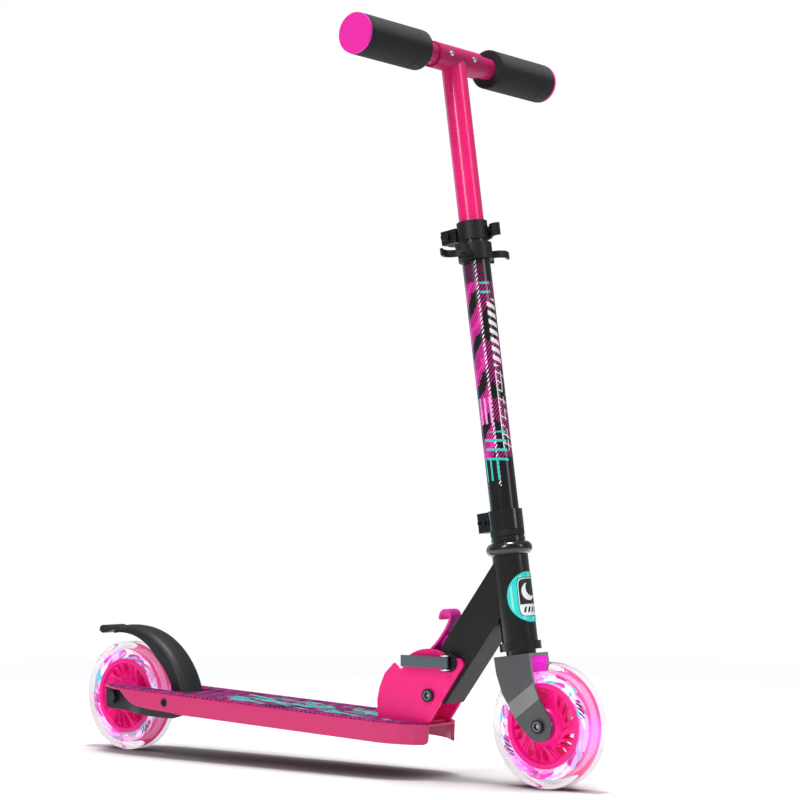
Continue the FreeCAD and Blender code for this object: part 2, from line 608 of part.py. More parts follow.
def headset_pieces():
    """Cups pressed in the head tube, two rings of balls, race, cone and lock nut."""
    in_r = HEAD_TUBE_IN_R
    shaft = STEERER_R
    track = in_r + 0.2
    free = shaft + STEERER_CLEAR
    cup = fused(tube(CUP_R, track, HEAD_FOOT - CUP_H, HEAD_FOOT),
                tube(track + 0.5, free, HEAD_FOOT - 2, HEAD_FOOT),
                tube(in_r, free, HEAD_FOOT - 2, HEAD_FOOT + CUP_SPIGOT))
    low_ball = HEAD_FOOT - 2 - BALL_R - RUN
    race = tube(RACE_R, shaft, CROWN_TOP, low_ball - BALL_R - RUN)
    ring = Part.makeTorus(TORUS_MEAN_R, TORUS_R, V(0, 0, HEAD_TOP + TORUS_R))
    ring = ring.fuse(tube(TORUS_MEAN_R, in_r, HEAD_TOP, HEAD_TOP + 2 * TORUS_R))
    seat = HEAD_TOP + UPPER_SEAT
    spigot = tube(in_r, free, HEAD_TOP - CUP_SPIGOT, seat)
    floor = tube(in_r + 0.5, free, HEAD_TOP, seat)
    room = rod(track, seat, HEAD_TOP + 2 * TORUS_R + 1).fuse(rod(free, HEAD_TOP - 10, HEAD_TOP + 20))
    upper = cut(fused(ring, spigot, floor), room)
    high_ball = seat + BALL_R + RUN
    mean = (shaft + 0.1 + track) / 2
    cone_foot = high_ball + BALL_R + RUN
    balls = []
    for height in (low_ball, high_ball):
        for i in range(BALLS):
            turn = 2 * math.pi * i / BALLS
            balls.append(Part.makeSphere(BALL_R, V(mean * math.cos(turn), mean * math.sin(turn), height)))
    top = HEAD_TOP + 2 * TORUS_R
    cone_top = top + 5.0
    cone = fused(tube(track - 0.3, shaft, cone_foot, top + 0.6), tube(COLLAR_R - 0.3, shaft, top + 0.6, cone_top))
    nut = fused(tube(COLLAR_R - 1.2, shaft, cone_top, cone_top + 1.4),
                tube(COLLAR_R - 0.2, shaft, cone_top + 1.4, COLLAR_FOOT - 0.2))
    pieces = {"lower_cup": [cup], "upper_cup": [upper], "crown_race": [race], "headset_balls": balls,
              "headset_cone": [cone], "lock_nut": [nut]}
    return {name: [placed(shape, COLUMN) for shape in shapes] for name, shapes in pieces.items()}


# ---- latch ---------------------------------------------------------------------------
def latch_hook():
    """The bent pull strip behind the down tube, with a stem that carries the latch pin."""
    w = HOOK_W / 2
    half = TUBE_D / 2
    rear = half + HOOK_STAND
    path = [(PIN_AT - 20.0, rear + 3.0), (PIN_AT - 10.0, rear + 0.6), (PIN_AT + 2.0, rear - 0.4),
            (PIN_AT + 12.0, rear - 0.2), (PIN_AT + 20.0, rear + 0.8), (PIN_AT + 25.6, rear + 3.0),
            (PIN_AT + 28.6, rear + 7.4), (PIN_AT + 27.8, rear + 12.6), (PIN_AT + 23.8, rear + 16.0),
            (PIN_AT + 18.5, rear + 16.2), (PIN_AT + 14.0, rear + 13.4)]
    back = []
    for i, (x, z) in enumerate(path):
        before = path[max(i - 1, 0)]
        after = path[min(i + 1, len(path) - 1)]
        run = after[0] - before[0]
        rise = after[1] - before[1]
        length = math.hypot(run, rise)
        back.append((x - HOOK_T * rise / length, z + HOOK_T * run / length))
    near = [V(x, -w, z) for x, z in path]
    far = [V(x, -w, z) for x, z in reversed(back)]
    outline = Part.Wire([through(near), Part.makeLine(near[-1], far[0]), through(far),
                         Part.makeLine(far[-1], near[0])])
    strip = Part.Face(outline).extrude(V(0, HOOK_W, 0))
    reach = PIN_AT - 6.5
    stem = box(reach, PIN_AT + 6.5, -w / 2, w / 2, -6.0, rear + HOOK_T / 2)
    whole = fused(strip, stem)
    return placed(whole.cut(rod(PIN_R, -20, 20, "y", (PIN_AT, 0))), TUBE)


def latch_pieces():
    """Latch skewer, hub with its lever ears, nut and the two return springs."""
    seat = PLATE_OUT + LATCH_SEAT
    back = -seat - LATCH_HUB_T
    pin = rod(PIN_R, back + 0.4, seat + LATCH_NUT_L, "y", (PIN_AT, 0))
    disc = rod(LATCH_HUB_R, back, -seat, "y", (HUB_AT, 0)).cut(rod(PIN_R, -40, 0, "y", (PIN_AT, 0)))
    barrel_y = latch_barrel_y()
    hub = placed(disc, TUBE)
    centre = TUBE.multVec(V(HUB_AT, 0, 0))
    x = centre.x
    half = LATCH_LEVER_H / 2
    for side in (-1, 1):
        z0, z1 = sorted((centre.z + side * (half + GAP), centre.z + side * (half + GAP + EAR_T)))
        ear = fused(rod(EAR_R, z0, z1, "z", (x, barrel_y)),
                    box(x - EAR_R, x + EAR_R, barrel_y, -seat - 1.0, z0, z1))
        hub = hub.fuse(ear)
    hub = hub.fuse(rod(LEVER_PIN_R, centre.z - half - 1.5, centre.z + half + 1.5, "z", (x, barrel_y)))
    wall = TUBE_W / 2 - TUBE_T
    spring = tube(PIN_R + 1.8, PIN_R + 0.6, wall - 4.0, wall - 0.3, "y", (PIN_AT, 0))
    nut = tube(LATCH_NUT_R, PIN_R, seat, seat + LATCH_NUT_L, "y", (PIN_AT, 0))
    return {
        "latch_skewer": [placed(pin, TUBE)],
        "latch_hub": [hub.cut(placed(pin, TUBE))],
        "latch_nut": [placed(nut, TUBE)],
        "latch_springs": [placed(s, TUBE) for s in both_sides(spring)],
    }


def latch_barrel_y():
    """Where the latch lever's cam barrel stands outside the right plate."""
    return -(PLATE_OUT + LATCH_SEAT + LATCH_HUB_T + GAP + LATCH_BARREL_R)


def latch_lever():
    """The flat steel lever that clamps the latch, lying back along the bracket."""
    centre = TUBE.multVec(V(HUB_AT, 0, 0))
    y = latch_barrel_y()
    half = LATCH_LEVER_H / 2
    x = centre.x
    end = x - LATCH_LEVER_L
    barrel = tube(LATCH_BARREL_R, LEVER_PIN_R + RUN, centre.z - half, centre.z + half, "z", (x, y))
    strip = polygon_z([(x - 2.4, y + 1.6), (x - 2.4, y - 0.8), (x - 30, y - 1.4), (end, y - 2.6),
                       (end - 1.2, y - 1.0), (end, y + 0.2), (x - 30, y + 0.9)], centre.z - half, centre.z + half)
    strip = strip.cut(rod(2.0, centre.z - 20, centre.z + 20, "z", (x, y)))
    return fused(barrel, strip)


# ---- fork and column -----------------------------------------------------------------
def fork():
    """The pressed fork: crown plate and two cranked blades with rounded ends."""
    side = [(CROWN_BACK, CROWN_TOP), (CROWN_BACK + 0.6, 54), (-16.5, 34), (-11.5, 24), (0, 4),
            (FORK_OFFSET - BLADE_END_R + 2.2, -8.4), (FORK_OFFSET, 0), (FORK_OFFSET + BLADE_END_R - 1.0, 5.2),
            (28.4, 22.5), (21.6, 40.0), (CROWN_FRONT + 0.6, 50), (CROWN_FRONT, CROWN_TOP)]
    blade = fused(polygon_y(side, 0, 30), rod(BLADE_END_R, 0, 30, "y", (FORK_OFFSET, 0)))
    outside = [(BLADE_OUT_HI, 120), (BLADE_OUT_HI, BLADE_CRANK_HI), (BLADE_OUT_LO, BLADE_CRANK_LO),
               (BLADE_OUT_LO, -80)]
    bent = outside + [(y - BLADE_T, v) for y, v in reversed(outside)]
    wire = Part.makePolygon([V(-120, y, v) for y, v in bent] + [V(-120, bent[0][0], bent[0][1])])
    sheet = Part.Face(wire).extrude(V(240, 0, 0))
    sheet.rotate(V(0, 0, 0), Y_AXIS, -BLADE_TURN)
    blade = blade.common(sheet)
    blade = blade.cut(rod(AXLE_R + RUN, 0, 40, "y", (FORK_OFFSET, 0)))
    plate = box(CROWN_BACK, CROWN_FRONT, -BLADE_OUT_HI, BLADE_OUT_HI, CROWN_TOP - CROWN_T, CROWN_TOP)
    plate = plate.cut(rod(STEERER_R, 0, 100))
    whole = fused(plate, *both_sides(blade))
    return placed(whole, COLUMN)


def front_axle_pieces():
    """Front axle bolt, nut and the pair of thin spacers."""
    at = (FRONT_AXLE.x, FRONT_AXLE.z)
    spacer = tube(6.5, AXLE_R + RUN, HUB_W / 2 + 0.15, BLADE_OUT_LO - BLADE_T, "y", at)
    return {
        "front_axle_bolt": [bolt_y(AXLE_R, -BLADE_OUT_LO, BLADE_OUT_LO + NUT_H, FRONT_AXLE)],
        "front_axle_nut": [nut_y(AXLE_R, BLADE_OUT_LO, FRONT_AXLE)],
        "front_axle_spacers": both_sides(spacer),
    }


def stem_collar():
    """The split collar that clamps the outer tube on the steerer."""
    ring = tube(COLLAR_R, OUTER_R, COLLAR_FOOT, COLLAR_TOP)
    wide = LUG_HALF_W
    lug = box(-28.0, -OUTER_R - 1.0, -wide, wide, COLLAR_FOOT, COLLAR_TOP)
    whole = cut(fused(ring, lug), box(-40, 0, -0.9, 0.9, COLLAR_FOOT - 1, COLLAR_TOP + 1),
                rod(OUTER_R, COLLAR_FOOT - 1, COLLAR_TOP + 1))
    mid = (COLLAR_FOOT + COLLAR_TOP) / 2
    bore = rod(COLLAR_BOLT_R, -20, 20, "y", (COLLAR_BOLT_X, mid))
    bolt = bolt_y(COLLAR_BOLT_R, -wide, wide, V(COLLAR_BOLT_X, 0, mid), 4.2, 2.4)
    return placed(whole.cut(bore), COLUMN), placed(bolt, COLUMN)


def clip_holder():
    """The plastic ring whose two open clips hold the taken-off handlebar halves."""
    bar_in = BAR_R + STORED_BAR_GAP
    centre_y = CLIP_R + 1.5 + bar_in + 2.4
    ring = tube(CLIP_R, OUTER_R, CLIP_FOOT, CLIP_TOP)
    low = CLIP_FOOT + 4.0
    high = CLIP_FOOT + 11.0
    whole = ring
    for side in (-1, 1):
        y = side * centre_y
        clip = tube(bar_in + CLIP_WALL, bar_in, low, high, "z", (0, y))
        mouth = polygon_z([(0, y), (40, y + side * 33), (-40, y + side * 33)], low - 1, high + 1)
        near, far = sorted((side * (CLIP_R - 1.5), side * (CLIP_R + 3.4)))
        foot = box(-6.0, 6.0, near, far, CLIP_FOOT + 1, CLIP_TOP - 2)
        foot = foot.cut(rod(bar_in + 1.2, CLIP_FOOT - 1, CLIP_TOP + 1, "z", (0, y)))
        whole = fused(whole, clip.cut(mouth), foot)
        for end in (-1, 1):
            lip = rod(CLIP_LIP_R, low, high, "z", (end * 9.6, y + side * 9.6))
            whole = whole.fuse(lip)
    return placed(whole.removeSplitter(), COLUMN)


def height_clamp_pieces():
    """Upper split clamp, its cross bolt and nut; the lever is a piece of its own."""
    ear = CLAMP_EAR_HALF_W
    ring = tube(CLAMP_R, OUTER_R, CLAMP_FOOT, OUTER_TOP)
    ears = box(-33.0, -OUTER_R - 0.6, -ear, ear, CLAMP_FOOT + 1.5, OUTER_TOP - 3.5)
    whole = cut(fused(ring, ears), box(-40, 0, -1.2, 1.2, CLAMP_FOOT - 1, OUTER_TOP + 1),
                rod(OUTER_R, CLAMP_FOOT - 1, OUTER_TOP + 1))
    mid = clamp_bolt_height()
    at = (CLAMP_BOLT_X, mid)
    end = -ear - CLAMP_NUT_L
    bolt = fused(rod(CLAMP_BOLT_R, end, ear + CLAMP_WASHER_T, "y", at), clamp_yoke(mid))
    nut = tube(CLAMP_BOLT_R + 2.1, CLAMP_BOLT_R, end, -ear, "y", at)
    whole = whole.cut(rod(CLAMP_BOLT_R, -20, 20, "y", at))
    pieces = {"height_clamp": whole, "clamp_bolt": bolt, "clamp_nut": nut}
    return {name: [placed(shape, COLUMN)] for name, shape in pieces.items()}


def clamp_bolt_height():
    """Height of the clamp's cross bolt."""
    return (CLAMP_FOOT + OUTER_TOP) / 2 - 1.0


def clamp_yoke(mid):
    """The fork-shaped head of the cross bolt, with the lever's pin."""
    x = CLAMP_BOLT_X
    ear = CLAMP_EAR_HALF_W
    reach = HEIGHT_LEVER_HALF_H + 2.1
    washer = box(x - 4.5, x + 4.5, ear, ear + CLAMP_WASHER_T, mid - reach, mid + reach)
    parts = [washer, rod(LEVER_PIN_R, mid - reach + 0.4, mid + reach - 0.4, "z", (x, YOKE_Y))]
    for low in (mid - reach, mid + reach - 1.8):
        parts.append(box(x - 2.6, x + 2.6, ear + 1.0, YOKE_Y + 2.0, low, low + 1.8))
    return fused(*parts)


def height_lever():
    """The lever of the upper clamp, wrapped close round the column's left side to a turned-out tip."""
    mid = clamp_bolt_height()
    half = HEIGHT_LEVER_HALF_H
    near = HEIGHT_LEVER_IN_R
    far = near + HEIGHT_LEVER_T
    barrel = tube(CAM_R, LEVER_PIN_R + RUN, mid - half, mid + half, "z", (CLAMP_BOLT_X, YOKE_Y))
    arc = []
    for radius, angles in ((near, range(128, 22, -8)), (far, range(24, 130, 8))):
        arc += [(radius * math.cos(math.radians(a)), radius * math.sin(math.radians(a))) for a in angles]
    wrap = polygon_z(arc, mid - half, mid + half)
    root = polygon_z([(CLAMP_BOLT_X + 1.5, YOKE_Y + 3.2), (CLAMP_BOLT_X + 1.5, YOKE_Y + 0.6),
                      (-10.9, 13.9), (-8.6, 17.6), (-13.0, 18.4)], mid - half, mid + half)
    tip = polygon_z([(15.4, 8.9), (15.9, 6.9), (19.4, 5.6), (24.2, 6.2), (27.0, 9.4), (25.2, 10.2), (22.2, 8.6),
                     (19.6, 8.8), (17.9, 9.4)], mid - half, mid + half)
    clear = rod(2.0, mid - 20, mid + 20, "z", (CLAMP_BOLT_X, YOKE_Y))
    return placed(fused(barrel, root.cut(clear), wrap, tip), COLUMN)


# ---- handlebar -----------------------------------------------------------------------
def button_bore(side, radius):
    """The hole for one snap button, through the front of sleeve and bar."""
    return rod(radius, 0, SLEEVE_OUT_R + 3, "x", (side * BUTTON_Y, BAR_HEIGHT))


def handlebar_pieces():
    """T-tube, welded sleeve, two bars, foam grips, end caps and button springs."""
    at = (0, BAR_HEIGHT)
    stem = tube(T_TUBE_R, T_TUBE_R - T_TUBE_WALL, T_TUBE_FOOT, BAR_HEIGHT)
    stem = stem.cut(rod(SLEEVE_OUT_R, -40, 40, "y", at))
    sleeve = tube(SLEEVE_OUT_R, BAR_R, -SLEEVE_HALF_L, SLEEVE_HALF_L, "y", at)
    sleeve = cut(sleeve, button_bore(-1, BUTTON_R + RUN), button_bore(1, BUTTON_R + RUN))
    end = BAR_WIDTH / 2
    pieces = {"t_tube": [stem], "bar_sleeve": [sleeve]}
    springs = []
    caps = []
    for side, name in ((1, "left"), (-1, "right")):
        inside = end - CAP_T
        spans = [sorted((side * a, side * b)) for a, b in
                 ((BAR_INNER_END, inside), (GRIP_INNER_END, inside), (inside, end), (end - 16, inside))]
        bar = tube(BAR_R, BAR_R - BAR_WALL, spans[0][0], spans[0][1], "y", at)
        bar = bar.cut(button_bore(side, BUTTON_R + RUN))
        grip = tube(GRIP_R, BAR_R, spans[1][0], spans[1][1], "y", at)
        cap = fused(rod(CAP_R, spans[2][0], spans[2][1], "y", at),
                    rod(BAR_R - BAR_WALL, spans[3][0], spans[3][1], "y", at))
        pieces["handlebar_" + name] = [bar]
        pieces["grip_" + name] = [grip]
        caps.append(cap)
        y = side * BUTTON_Y
        back = -(BAR_R - BAR_WALL) + 0.4
        leaf = fused(box(back + 0.8, back + 1.6, y - 2.5, y + 2.5, BAR_HEIGHT - 4.0, BAR_HEIGHT + 2.5),
                     box(back + 0.8, 0.4, y - 2.5, y + 2.5, BAR_HEIGHT - 4.0, BAR_HEIGHT - 3.2),
                     box(-0.4, 0.4, y - 2.5, y + 2.5, BAR_HEIGHT - 4.0, BAR_HEIGHT + 1.0))
        springs.append(leaf)
    pieces["button_springs"] = springs
    pieces["end_caps"] = caps
    return {name: [placed(shape, COLUMN) for shape in shapes] for name, shapes in pieces.items()}


def snap_button(side):
    """One domed snap button that locks a bar in the sleeve."""
    tip = SLEEVE_OUT_R + BUTTON_OUT
    shank = rod(BUTTON_R, 0.4 + GAP + BUTTON_TRAVEL, tip - 1.0, "x", (side * BUTTON_Y, BAR_HEIGHT))
    dome = Part.makeCone(BUTTON_R, BUTTON_R - 1.0, 1.0, V(tip - 1.0, side * BUTTON_Y, BAR_HEIGHT), V(1, 0, 0))
    return placed(fused(shank, dome), COLUMN)


# ---- the whole scooter ---------------------------------------------------------------
def build():
    """Every piece by node name."""
    nodes = {
        "deck_pan": [deck_pan()],
        "deck_grip": [deck_grip()],
        "fold_bracket": [fold_bracket()],
        "fender": [fender()],
        "down_tube": [down_tube()],
        "head_tube": [placed(tube(HEAD_TUBE_R, HEAD_TUBE_IN_R, HEAD_FOOT, HEAD_TOP), COLUMN)],
        "latch_hook": [latch_hook()],
        "latch_lever": [latch_lever()],
        "fork": [fork()],
        "steerer": [placed(tube(STEERER_R, STEERER_R - STEERER_WALL, CROWN_TOP - CROWN_T, COLLAR_TOP), COLUMN)],
        "outer_tube": [placed(tube(OUTER_R, T_TUBE_R + RUN, COLLAR_FOOT, OUTER_TOP), COLUMN)],
        "clip_holder": [clip_holder()],
        "height_lever": [height_lever()],
        "snap_button_left": [snap_button(1)],
        "snap_button_right": [snap_button(-1)],
    }
    left, right = both_sides(dropout())
    nodes["rear_dropout_left"] = [left]
    nodes["rear_dropout_right"] = [right]
    collar, collar_bolt = stem_collar()
    nodes["stem_collar"] = [collar]
    nodes["stem_bolt"] = [collar_bolt]
    groups = [wheel_pieces("front", FRONT_AXLE), wheel_pieces("rear", REAR_AXLE), fold_pivot_pieces(),
              rear_axle_pieces(), fender_pivot_pieces(), headset_pieces(), latch_pieces(), front_axle_pieces(),
              height_clamp_pieces(), handlebar_pieces()]
    for group in groups:
        nodes.update(group)
    return nodes


def write(nodes):
    """Write one STEP file per node into parts/."""
    os.makedirs("parts", exist_ok=True)
    for name, shapes in nodes.items():
        solids = [solid for shape in shapes for solid in shape.Solids]
        shape = solids[0] if len(solids) == 1 else Part.makeCompound(solids)
        state = "valid" if shape.isValid() else "NOT VALID"
        print(name, len(solids), "solids", round(shape.Volume), "mm3", state)
        shape.exportStep("parts/" + name + ".step")
    print(len(nodes), "nodes")


write(build())
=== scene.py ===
"""A child's folding kick scooter: its finishes, modelled pieces and studio.

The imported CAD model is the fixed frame. Sizes are metres; +X is the riding direction, +Y the
rider's left and +Z up, with the ground at z = 0.
"""
import logging
import math
from dataclasses import dataclass, field
from enum import Enum
from typing import Callable, Optional, Union

import bpy
from mathutils import Matrix, Vector


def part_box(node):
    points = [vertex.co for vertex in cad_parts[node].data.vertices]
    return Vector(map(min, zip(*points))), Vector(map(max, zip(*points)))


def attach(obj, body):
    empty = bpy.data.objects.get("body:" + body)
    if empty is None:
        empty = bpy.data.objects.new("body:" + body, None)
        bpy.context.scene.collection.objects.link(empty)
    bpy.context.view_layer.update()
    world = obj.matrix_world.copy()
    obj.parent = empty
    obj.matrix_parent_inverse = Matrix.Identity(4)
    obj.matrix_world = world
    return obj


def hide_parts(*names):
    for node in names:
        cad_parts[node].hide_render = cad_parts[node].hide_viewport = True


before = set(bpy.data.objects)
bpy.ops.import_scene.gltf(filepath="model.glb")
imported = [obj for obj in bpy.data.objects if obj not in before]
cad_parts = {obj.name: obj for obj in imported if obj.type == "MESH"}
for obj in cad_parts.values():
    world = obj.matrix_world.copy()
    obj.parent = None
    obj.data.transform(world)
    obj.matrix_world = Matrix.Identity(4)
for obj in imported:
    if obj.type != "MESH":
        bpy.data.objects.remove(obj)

LOG = logging.getLogger("scooter")
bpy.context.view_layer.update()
MM = 0.001
LEAN = math.radians(7.9)
COLUMN_FOOT = Vector((0.26092, 0.0, 0.05687))
COLUMN_UP = Vector((-math.sin(LEAN), 0.0, math.cos(LEAN)))
COLUMN_AHEAD = Vector((math.cos(LEAN), 0.0, math.sin(LEAN)))

Socket = bpy.types.NodeSocket
Value = Union[Socket, float]
Colour = tuple[float, float, float, float]
UNLIT: Colour = (0.0, 0.0, 0.0, 1.0)
WHITE: Colour = (1.0, 1.0, 1.0, 1.0)


def shade(code: str) -> Colour:
    """Turn a hex colour as seen on a screen into the linear colour a shader takes.

    Args:
        code: Six hex digits, red first.

    Returns:
        The linear colour with full alpha.
    """
    parts = [int(code[i:i + 2], 16) / 255.0 for i in (0, 2, 4)]
    red, green, blue = (p / 12.92 if p <= 0.04045 else ((p + 0.055) / 1.055) ** 2.4 for p in parts)
    return (red, green, blue, 1.0)


class Wheel(Enum):
    """The two wheels, each with the CAD body its parts turn with."""

    FRONT = "front"
    REAR = "rear"

    @property
    def body(self) -> str:
        """The CAD body of this wheel."""
        return self.value + "_wheel"

    def node(self, part: str) -> str:
        """The name of one of this wheel's CAD nodes."""
        return f"{self.value}_{part}"

    @property
    def axle(self) -> Vector:
        """The middle of the wheel."""
        low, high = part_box(self.node("tyre"))
        return (low + high) / 2


class Side(Enum):
    """The rider's left and right."""

    LEFT = "left"
    RIGHT = "right"


# ---- shader nodes ----------------------------------------------------------------------------
class Wiring:
    """Adds and links shader nodes in one tree."""

    def __init__(self, tree: bpy.types.NodeTree) -> None:
        """Keep the tree that is drawn in."""
        self.tree = tree

    def node(self, kind: str, **settings: object) -> bpy.types.Node:
        """Add a node.

        Args:
            kind: Node type after the ShaderNode prefix.
            settings: Attributes set on the node.

        Returns:
            The new node.
        """
        made = self.tree.nodes.new("ShaderNode" + kind)
        for name, value in settings.items():
            setattr(made, name, value)
        return made

    def feed(self, socket: Socket, value: Union[Value, Colour]) -> None:
        """Link a socket to another, or set its plain value."""
        if isinstance(value, bpy.types.NodeSocket):
            self.tree.links.new(value, socket)
        else:
            socket.default_value = value

    def math(self, sum_kind: str, first: Value, second: Value = 0.0, third: Value = 0.0) -> Socket:
        """Join up to three values by a Math node.

        Args:
            sum_kind: The Math node's operation.
            first: First value or socket.
            second: Second value or socket.
            third: Third value or socket.

        Returns:
            The result's socket.
        """
        made = self.node("Math", operation=sum_kind)
        for socket, value in zip(made.inputs, (first, second, third)):
            self.feed(socket, value)
        return made.outputs[0]

    def fill(self, made: bpy.types.Node, values: dict[str, Union[Value, Colour]]) -> None:
        """Feed several of a node's inputs by name."""
        for name, value in values.items():
            self.feed(made.inputs[name], value)

    def above(self, value: Value, limit: Value) -> Socket:
        """A mask that is 1 where value is over the limit."""
        return self.math("GREATER_THAN", value, limit)

    def below(self, value: Value, limit: Value) -> Socket:
        """A mask that is 1 where value is under the limit."""
        return self.math("LESS_THAN", value, limit)

    def less(self, first: Value, second: Value) -> Socket:
        """Take the second value from the first."""
        return self.math("SUBTRACT", first, second)

    def size(self, value: Value) -> Socket:
        """The value without its sign."""
        return self.math("ABSOLUTE", value)

    def distance(self, first: Value, second: Value) -> Socket:
        """How far from the origin a point with these two coordinates lies."""
        return self.math("SQRT", self.add(self.times(first, first), self.times(second, second)))

    def ramp(self, value: Socket, low: float, high: float, start: float = 0.0, end: float = 1.0) -> Socket:
        """A smooth change from start, where value is low, to end, where it is high."""
        made = self.node("MapRange", interpolation_type="SMOOTHSTEP")
        self.fill(made, {"Value": value, "From Min": low, "From Max": high, "To Min": start, "To Max": end})
        return made.outputs[0]

    def split(self, vector: Socket) -> tuple[Socket, Socket, Socket]:
        """The x, y and z of a vector."""
        parts = self.node("SeparateXYZ")
        self.feed(parts.inputs[0], vector)
        return parts.outputs[0], parts.outputs[1], parts.outputs[2]

    def add(self, first: Value, second: Value) -> Socket:
        """Add two values."""
        return self.math("ADD", first, second)

    def times(self, *values: Value) -> Socket:
        """Multiply values, so that masks meet."""
        result = values[0]
        for value in values[1:]:
            result = self.math("MULTIPLY", result, value)
        return result

    def either(self, *masks: Value) -> Socket:
        """Join masks where any of them is set."""
        result = masks[0]
        for mask in masks[1:]:
            result = self.math("MAXIMUM", result, mask)
        return result

    def band(self, value: Value, low: float, high: float) -> Socket:
        """A mask that is 1 where value lies from low to high."""
        return self.math("COMPARE", value, (low + high) / 2, (high - low) / 2)

    def stripes(self, value: Value, period: float, share: float) -> Socket:
        """A mask of repeated stripes.

        Args:
            value: The coordinate the stripes run across.
            period: Distance from stripe to stripe.
            share: Part of the period that is filled.

        Returns:
            The mask's socket.
        """
        step = self.math("FRACT", self.math("DIVIDE", value, period))
        return self.below(step, share)

    def mix(self, mask: Value, below: Union[Socket, Colour], above: Union[Socket, Colour]) -> Socket:
        """Lay one colour over another through a mask."""
        made = self.node("Mix", data_type="RGBA", clamp_factor=True)
        self.feed(made.inputs["Factor"], mask)
        self.feed(made.inputs[6], below)
        self.feed(made.inputs[7], above)
        return made.outputs[2]

    def here(self, centre: Vector = Vector(), turn: float = 0.0) -> tuple[Socket, Socket, Socket]:
        """Object coordinates measured from a centre and turned about Y.

        Args:
            centre: The point that becomes the origin.
            turn: Angle about Y in radians.

        Returns:
            The x, y and z sockets.
        """
        from_object = self.node("TexCoord").outputs["Object"]
        mapping = self.node("Mapping", vector_type="TEXTURE")
        mapping.inputs["Location"].default_value = centre
        mapping.inputs["Rotation"].default_value = (0.0, turn, 0.0)
        self.feed(mapping.inputs["Vector"], from_object)
        return self.split(mapping.outputs[0])

    def joined(self, x: Value, y: Value, z: Value) -> Socket:
        """Three values as one vector."""
        made = self.node("CombineXYZ")
        for socket, value in zip(made.inputs, (x, y, z)):
            self.feed(socket, value)
        return made.outputs[0]

    def noise(self, scale: float, detail: float = 2.0, vector: Optional[Socket] = None) -> Socket:
        """Soft noise on Object coordinates, or on a given vector."""
        made = self.node("TexNoise")
        at = vector or self.node("TexCoord").outputs["Object"]
        self.fill(made, {"Scale": scale, "Detail": detail, "Vector": at})
        return made.outputs[0]


class SharedEffects:
    """Node groups that several finishes use, each built once."""

    built: dict[str, bpy.types.NodeTree] = {}
    polish_swing: float = 0.18

    @classmethod
    def grain(cls) -> bpy.types.NodeTree:
        """Fine surface grain.

        Returns:
            A group with Fine and Coarse scales and Share in, and Height and Patch out.
        """
        if "grain" in cls.built:
            return cls.built["grain"]
        tree = bpy.data.node_groups.new("surface_grain", "ShaderNodeTree")
        face = tree.interface
        for name, start in (("Fine", 900.0), ("Coarse", 60.0), ("Share", 0.5)):
            face.new_socket(name, in_out="INPUT", socket_type="NodeSocketFloat").default_value = start
        for name in ("Height", "Patch"):
            face.new_socket(name, in_out="OUTPUT", socket_type="NodeSocketFloat")
        wires = Wiring(tree)
        way_in, way_out = tree.nodes.new("NodeGroupInput"), tree.nodes.new("NodeGroupOutput")
        at = wires.node("TexCoord").outputs["Object"]
        grains = []
        for name, detail in (("Fine", 2.0), ("Coarse", 3.0)):
            cloud = wires.node("TexNoise")
            wires.fill(cloud, {"Detail": detail, "Vector": at, "Scale": way_in.outputs[name]})
            grains.append(cloud.outputs[0])
        both = wires.node("Mix", data_type="FLOAT")
        wires.feed(both.inputs[0], way_in.outputs["Share"])
        wires.feed(both.inputs[2], grains[0])
        wires.feed(both.inputs[3], grains[1])
        wires.fill(way_out, {"Height": both.outputs[0], "Patch": grains[1]})
        cls.built["grain"] = tree
        return tree

    @classmethod
    def handling(cls) -> bpy.types.NodeTree:
        """Faint change of tone and polish from handling.

        Returns:
            A group with Colour, Depth, Patch and Polish in, and Colour and Roughness out.
        """
        if "handling" in cls.built:
            return cls.built["handling"]
        tree = bpy.data.node_groups.new("handling_marks", "ShaderNodeTree")
        face = tree.interface
        face.new_socket("Colour", in_out="INPUT", socket_type="NodeSocketColor")
        for name in ("Depth", "Patch", "Polish"):
            face.new_socket(name, in_out="INPUT", socket_type="NodeSocketFloat")
        face.new_socket("Colour", in_out="OUTPUT", socket_type="NodeSocketColor")
        face.new_socket("Roughness", in_out="OUTPUT", socket_type="NodeSocketFloat")
        wires = Wiring(tree)
        way_in, way_out = tree.nodes.new("NodeGroupInput"), tree.nodes.new("NodeGroupOutput")
        swing = wires.less(way_in.outputs["Patch"], 0.5)
        level = wires.math("MULTIPLY_ADD", wires.times(swing, 2.0), way_in.outputs["Depth"], 1.0)
        tone = wires.node("HueSaturation")
        wires.fill(tone, {"Color": way_in.outputs["Colour"], "Value": level})
        rough = wires.math("MULTIPLY_ADD", swing, cls.polish_swing, way_in.outputs["Polish"])
        wires.fill(way_out, {"Colour": tone.outputs[0], "Roughness": rough})
        cls.built["handling"] = tree
        return tree


